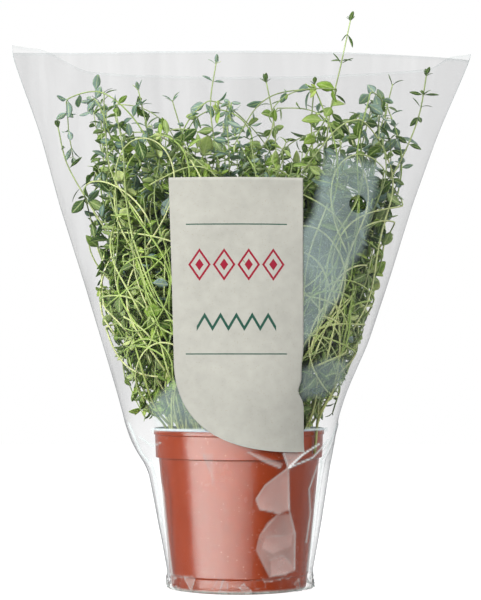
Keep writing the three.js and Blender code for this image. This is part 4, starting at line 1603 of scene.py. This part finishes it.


# %% [markdown]
# The film's finish is one shader. How much of the light it stops is its alpha, which rises steeply where
# the sheet is seen at a glancing angle, as a real film's reflection does. It is weaker at the back and
# before the pot, and varies in soft upright bands, a painted sheen that stands in for a sheet that isn't
# quite flat. The clear parts mirror the studio, so they are metallic and dark. The painted reflections of
# the haze and veils and the painted highlights of the creases, with the white seams and edges, add a dull,
# whitish part that scatters light instead; low in the hem that part is painted a darker grey-green shade.

# %% Finish of the film
def film_finish():
    material, tree, shader = new_material("clear film")
    haze_reflection, veil_reflection, crease_highlight_and_edges, rear = (stored_value(tree, key) for key in ("haze_reflection", "veil_reflection", "crease_highlight_and_edges", "rear"))
    place = object_place(tree)
    height = parts_of(tree, place)["Z"]
    facing = add_node(tree, "ShaderNodeLayerWeight", {"Blend": 0.5}).outputs["Facing"]
    glance = maths(tree, "POWER", facing, 4.0)
    mirrored = maths(tree, "MULTIPLY_ADD", glance, 0.32, 0.08)
    mirrored = times(tree, mirrored, ranged(tree, rear, 0.0, 1.0, 1.0, 0.35))
    above_rim = (95 * MM, 130 * MM)
    fuller = ranged(tree, height, *above_rim, 0.34, 1.12)
    fuller = maths(tree, "MULTIPLY_ADD", glance, ranged(tree, height, *above_rim, 1.8, 0.0), fuller)
    mirrored = times(tree, mirrored, fuller)
    # painted sheen: soft upright bands in how strongly the film mirrors, standing in for a sheet that isn't
    # quite flat
    upright = add_node(tree, "ShaderNodeVectorMath", {0: place, 1: (1, 1, 0.12)}, operation="MULTIPLY")
    painted_sheen_bands = use_group(tree, CLOUDY_TONE, Place=upright.outputs["Vector"], Size=13.0)
    mirrored = times(tree, mirrored, ranged(tree, painted_sheen_bands["Value"], 0.75, 1.35, 0.72, 1.4))
    # the painted reflections and highlights, with the seams and edges, as a dull diffuse part varied in
    # patches
    painted_light_and_edges = maths(tree, "MULTIPLY_ADD", veil_reflection, 0.28, times(tree, haze_reflection, 0.2))
    painted_light_and_edges = maths(tree, "MULTIPLY_ADD", crease_highlight_and_edges, 0.55, painted_light_and_edges)
    patchiness = use_group(tree, CLOUDY_TONE, Place=place, Size=16.0)
    patchy_light_and_edges = times(tree, painted_light_and_edges, ranged(tree, patchiness["Value"], 0.7, 1.6, 0.75, 1.25))
    alpha = maths(tree, "MINIMUM", maths(tree, "ADD", mirrored, patchy_light_and_edges), 1.0)
    plain = maths(tree, "MINIMUM", maths(tree, "DIVIDE", patchy_light_and_edges, maths(tree, "ADD", alpha, 0.001)), 1.0)
    # colours of the painted reflections: bluish for the haze, pinkish for the veils
    whitish = mix_colour(tree, maths(tree, "MINIMUM", veil_reflection, 1.0), srgb(206, 230, 226), srgb(242, 208, 200))
    above_hem = ranged(tree, height, 3 * MM, HEM_TOP * MM)
    # painted shade: low in the crumpled hem the crease colour darkens to grey-green, and above it the painted
    # highlights are near white
    pale = mix_colour(tree, above_hem, srgb(150, 166, 156), srgb(236, 238, 238))
    whitish = mix_colour(tree, maths(tree, "MINIMUM", crease_highlight_and_edges, 1.0), whitish, pale)
    set_inputs(tree, shader, {
        "Base Color": mix_colour(tree, plain, srgb(112, 114, 117), whitish),
        "Alpha": alpha,
        "Metallic": minus(tree, 1.0, plain),
        "Roughness": maths(tree, "MULTIPLY_ADD", plain, 0.35, 0.07),
    })
    return material


sleeve = make_sleeve(film_finish())
print("sleeve:", len(sleeve.data.polygons), "faces")

# %% [markdown]
# ## The printed panel
# A pale panel is printed on the film's front, from above the vent's height down to the pot's rim, with one
# long sweep on its left. It follows the film point for point, a hair outside it. Its print is a plain
# pattern of two thin green rules, a row of red lozenges and a green zigzag, each worked out from the height
# and the distance across.

# %% Outline and mesh of the panel
PANEL_LEFT, PANEL_RIGHT, PANEL_TOP, PANEL_BOTTOM = -41.6, 38.8, 248, 84.7
PANEL_LIFT, PANEL_THICK = 0.32, 0.12
PANEL_COLUMNS = 96


def panel_left_edge():
    """Points down the panel's left side, from its top corner to its foot."""
    start = np.array((PANEL_LEFT + 3.2, PANEL_BOTTOM + 51))
    one, two = np.array((PANEL_LEFT + 6, PANEL_BOTTOM + 14)), np.array((PANEL_LEFT + 34, PANEL_BOTTOM))
    end = np.array((PANEL_RIGHT - 1, PANEL_BOTTOM))
    straight = [lerp(np.array((PANEL_LEFT, PANEL_TOP)), start, i / 60) for i in range(60)]
    return np.array(straight + [bezier(start, one, two, end, (i / 60) ** 0.85) for i in range(61)])


def panel_right_edge(z):
    """The right side is straight, but the film gathers there just above the rim."""
    return PANEL_RIGHT - 0.6 - 3.0 * np.exp(-(((z - 121) / 5) ** 2)) - 1.3 * np.exp(-(((z - 133) / 9) ** 2))


def turn_at(x, z):
    left, right, _, _ = film_reach(z)
    return -np.arccos(np.clip(x / np.where(x > 0, right, left), -1, 1))


def make_panel(finish):
    edge = panel_left_edge()
    share = np.linspace(0, 1, PANEL_COLUMNS)
    z = np.repeat(edge[:, 1:], PANEL_COLUMNS, axis=1)
    x = edge[:, :1] * (1 - share) + panel_right_edge(edge[:, 1:]) * share
    grid = film_points(turn_at(x, z), z, FILM_MIDDLE + PANEL_LIFT)
    rows, columns = x.shape
    faces = [
        (r * columns + k, (r + 1) * columns + k, (r + 1) * columns + k + 1, r * columns + k + 1)
        for r in range(rows - 1) for k in range(columns - 1)
    ]
    panel = make_piece("printed_panel", grid.reshape(-1, 3), faces, [finish])
    thicken(panel, PANEL_THICK)
    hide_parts("front_panel")
    return panel


# %% Finish of the panel
PRINT_GREEN = srgb(34, 70, 58)
PRINT_RED = srgb(128, 26, 44)
PRINT_MIDDLE = -1.5
RULES, RULE_HALF, RULE_REACH = (220, 143), 0.35, 30
LOZENGES, LOZENGE_REACH = {"height": 196, "every": 14.6, "tall": 10.5}, 29.2
ZIGZAG, ZIGZAG_REACH = {"height": 162, "every": 9.4, "tall": 4.0}, 23.5


def band(tree, value, middle, half):
    """1 within half of a middle value, else 0."""
    off = maths(tree, "ABSOLUTE", minus(tree, value, middle))
    return maths(tree, "LESS_THAN", off, half)


def repeated(tree, x, middle, every):
    """Distance from the middle of the nearest of many equal cells, as a share of a cell."""
    cell = maths(tree, "FRACT", maths(tree, "DIVIDE", maths(tree, "ADD", x, 20 * every - middle), every))
    return maths(tree, "ABSOLUTE", minus(tree, cell, 0.5))


def lozenges(tree, x, z, height, every, tall):
    """A row of hollow lozenges with a small solid one in each."""
    off = maths(tree, "ABSOLUTE", maths(tree, "DIVIDE", minus(tree, z, height), 2.0 * tall))
    size = maths(tree, "ADD", repeated(tree, x, PRINT_MIDDLE, every), off)
    inside = maths(tree, "LESS_THAN", size, 0.46)
    outline = times(tree, inside, maths(tree, "GREATER_THAN", size, 0.36))
    return maths(tree, "MAXIMUM", outline, maths(tree, "LESS_THAN", size, 0.17))


def zigzag(tree, x, z, height, every, tall):
    """A thick zigzag line."""
    wave = maths(tree, "MULTIPLY_ADD", repeated(tree, x, PRINT_MIDDLE, every), 4.0 * tall, -tall)
    return band(tree, minus(tree, minus(tree, z, height), wave), 0.0, 1.5)


def panel_finish():
    material, tree, shader = new_material("printed paper white")
    place = object_place(tree)
    parts = parts_of(tree, place)
    x, z = times(tree, parts["X"], 1000.0), times(tree, parts["Z"], 1000.0)
    tone = use_group(tree, CLOUDY_TONE, Place=place, Colour=srgb(155, 154, 146), Size=24.0, Strength=0.12)
    specks = use_group(tree, FINE_SPECKS, Place=place, Size=1150.0, Share=0.15)
    colour = mix_colour(tree, times(tree, specks["Mask"], 0.34), tone["Colour"], srgb(128, 112, 88))
    rules = maths(tree, "MAXIMUM", *(band(tree, z, height, RULE_HALF) for height in RULES))
    rules = times(tree, rules, band(tree, x, PRINT_MIDDLE, RULE_REACH))
    waves = times(tree, zigzag(tree, x, z, **ZIGZAG), band(tree, x, PRINT_MIDDLE, ZIGZAG_REACH))
    colour = mix_colour(tree, maths(tree, "MAXIMUM", rules, waves), colour, PRINT_GREEN)
    row = times(tree, lozenges(tree, x, z, **LOZENGES), band(tree, x, PRINT_MIDDLE, LOZENGE_REACH))
    set_inputs(tree, shader, {
        "Base Color": mix_colour(tree, row, colour, PRINT_RED),
        "Roughness": ranged(tree, tone["Value"], 0.8, 1.5, 0.4, 0.5),
        "Specular IOR Level": 0.35,
    })
    return material


panel = make_panel(panel_finish())
print("panel:", len(panel.data.polygons), "faces")

# %% [markdown]
# ## The studio
# The photograph was taken on white, so the pot stands on a flat, pale floor and the camera sees white round
# it. The key light stands at the left and a weaker one at the right, one from behind makes the leaves glow,
# and one overhead fills the shadows. The long bright stripe down the pot is a reflection: it comes from a
# low, wide strip at the left that fades towards the camera. Light linking gives that strip to the pot
# alone, because the film in front would mirror it a second time. The surroundings are grey, darker before
# the object than behind it, because clear film only shows when it has something darker than the background
# to mirror.

# %% Backdrop, lights and surroundings
FLOOR_REACH, FLOOR_FRONT, FLOOR_BACK = 2600, -1600, 2200
STRIP_TURN, STRIP_AWAY, STRIP_HEIGHT = math.radians(27), 1.25, -0.3  # metres, as for every light


def make_backdrop():
    near = [(side * FLOOR_REACH, FLOOR_FRONT, 0) for side in (-1, 1)]
    far = [(side * FLOOR_REACH, FLOOR_BACK, 0) for side in (1, -1)]
    mesh = bpy.data.meshes.new("backdrop")
    mesh.from_pydata((np.array(near + far) * MM).tolist(), [], [(0, 1, 2, 3)])
    material, tree, shader = new_material("pale backdrop")
    place = object_place(tree)
    tone = use_group(tree, CLOUDY_TONE, Place=place, Colour=(0.4, 0.4, 0.4), Size=2.0, Strength=0.01)
    set_inputs(tree, shader, {
        "Base Color": tone["Colour"],
        "Roughness": 0.9,
        "Emission Color": (1, 1, 1),
        "Emission Strength": 0.76,
    })
    mesh.materials.append(material)
    backdrop = bpy.data.objects.new("backdrop", mesh)
    bpy.context.scene.collection.objects.link(backdrop)
    return backdrop


def soft_light(name, place, aim, wide, tall, power, tint=(1, 1, 1)):
    data = bpy.data.lights.new(name, "AREA")
    data.shape = "RECTANGLE"
    data.size, data.size_y = wide, tall
    data.energy = power
    data.color = tint
    light = bpy.data.objects.new(name, data)
    light.location = place
    light.rotation_euler = (Vector(aim) - Vector(place)).to_track_quat("-Z", "Y").to_euler()
    bpy.context.scene.collection.objects.link(light)
    return light


def make_surroundings(before, behind):
    """Grey all round: darker before the object, on the camera's side, than behind it."""
    world = bpy.data.worlds.new("studio")
    bpy.context.scene.world = world
    world.use_nodes = True
    tree = world.node_tree
    way = parts_of(tree, add_node(tree, "ShaderNodeTexCoord").outputs["Generated"])
    back = ranged(tree, way["Y"], -0.75, 0.25, smooth=True)
    around = mix_colour(tree, back, before, behind)
    seen = add_node(tree, "ShaderNodeLightPath").outputs["Is Camera Ray"]
    tree.links.new(mix_colour(tree, seen, around, (1, 1, 1)), tree.nodes["Background"].inputs["Color"])


def make_strip(power):
    """A low, wide light that only mirrors show, bright at its outer end and fading towards the camera."""
    place = (-STRIP_AWAY * math.sin(STRIP_TURN), -STRIP_AWAY * math.cos(STRIP_TURN), STRIP_HEIGHT)
    aim = (0, 0, STRIP_HEIGHT)
    strip = soft_light("fading strip", place, aim, wide=2.9, tall=0.75, power=power, tint=(0.74, 1, 1))
    strip.visible_diffuse = False
    strip.data.use_nodes = True
    tree = strip.data.node_tree
    across = parts_of(tree, add_node(tree, "ShaderNodeNewGeometry").outputs["Parametric"])["X"]
    fade = ranged(tree, across, 0.3, 1.0, 1.0, 0.32)
    tree.links.new(fade, tree.nodes["Emission"].inputs["Strength"])
    return strip


backdrop = make_backdrop()
backdrop.visible_glossy = False
backdrop.visible_shadow = False
backdrop.visible_diffuse = False
key = soft_light("key softbox", (-0.95, -0.95, 0.5), (0, 0, 0.16), wide=0.6, tall=0.9, power=31)
key.visible_glossy = False
strip = make_strip(power=80)
mirrors = bpy.data.collections.new("mirrors the strip")
mirrors.objects.link(pot)
strip.light_linking.receiver_collection = mirrors
fill = soft_light("right fill", (1.1, -1.0, 0.6), (0, 0, 0.2), wide=0.8, tall=1.2, power=17)
fill.visible_glossy = False
glow = soft_light("back glow", (0.25, 1.3, 0.75), (0, 0, 0.2), wide=1.8, tall=1.2, power=7)
glow.visible_glossy = False
soft_light("overhead", (0, -0.2, 1.6), (0, 0, 0), wide=1.6, tall=1.2, power=13)
make_surroundings(before=(0.22, 0.225, 0.23), behind=(0.62, 0.63, 0.64))
bpy.context.scene.view_settings.view_transform = "Standard"
print("lights:", len(bpy.data.lights))
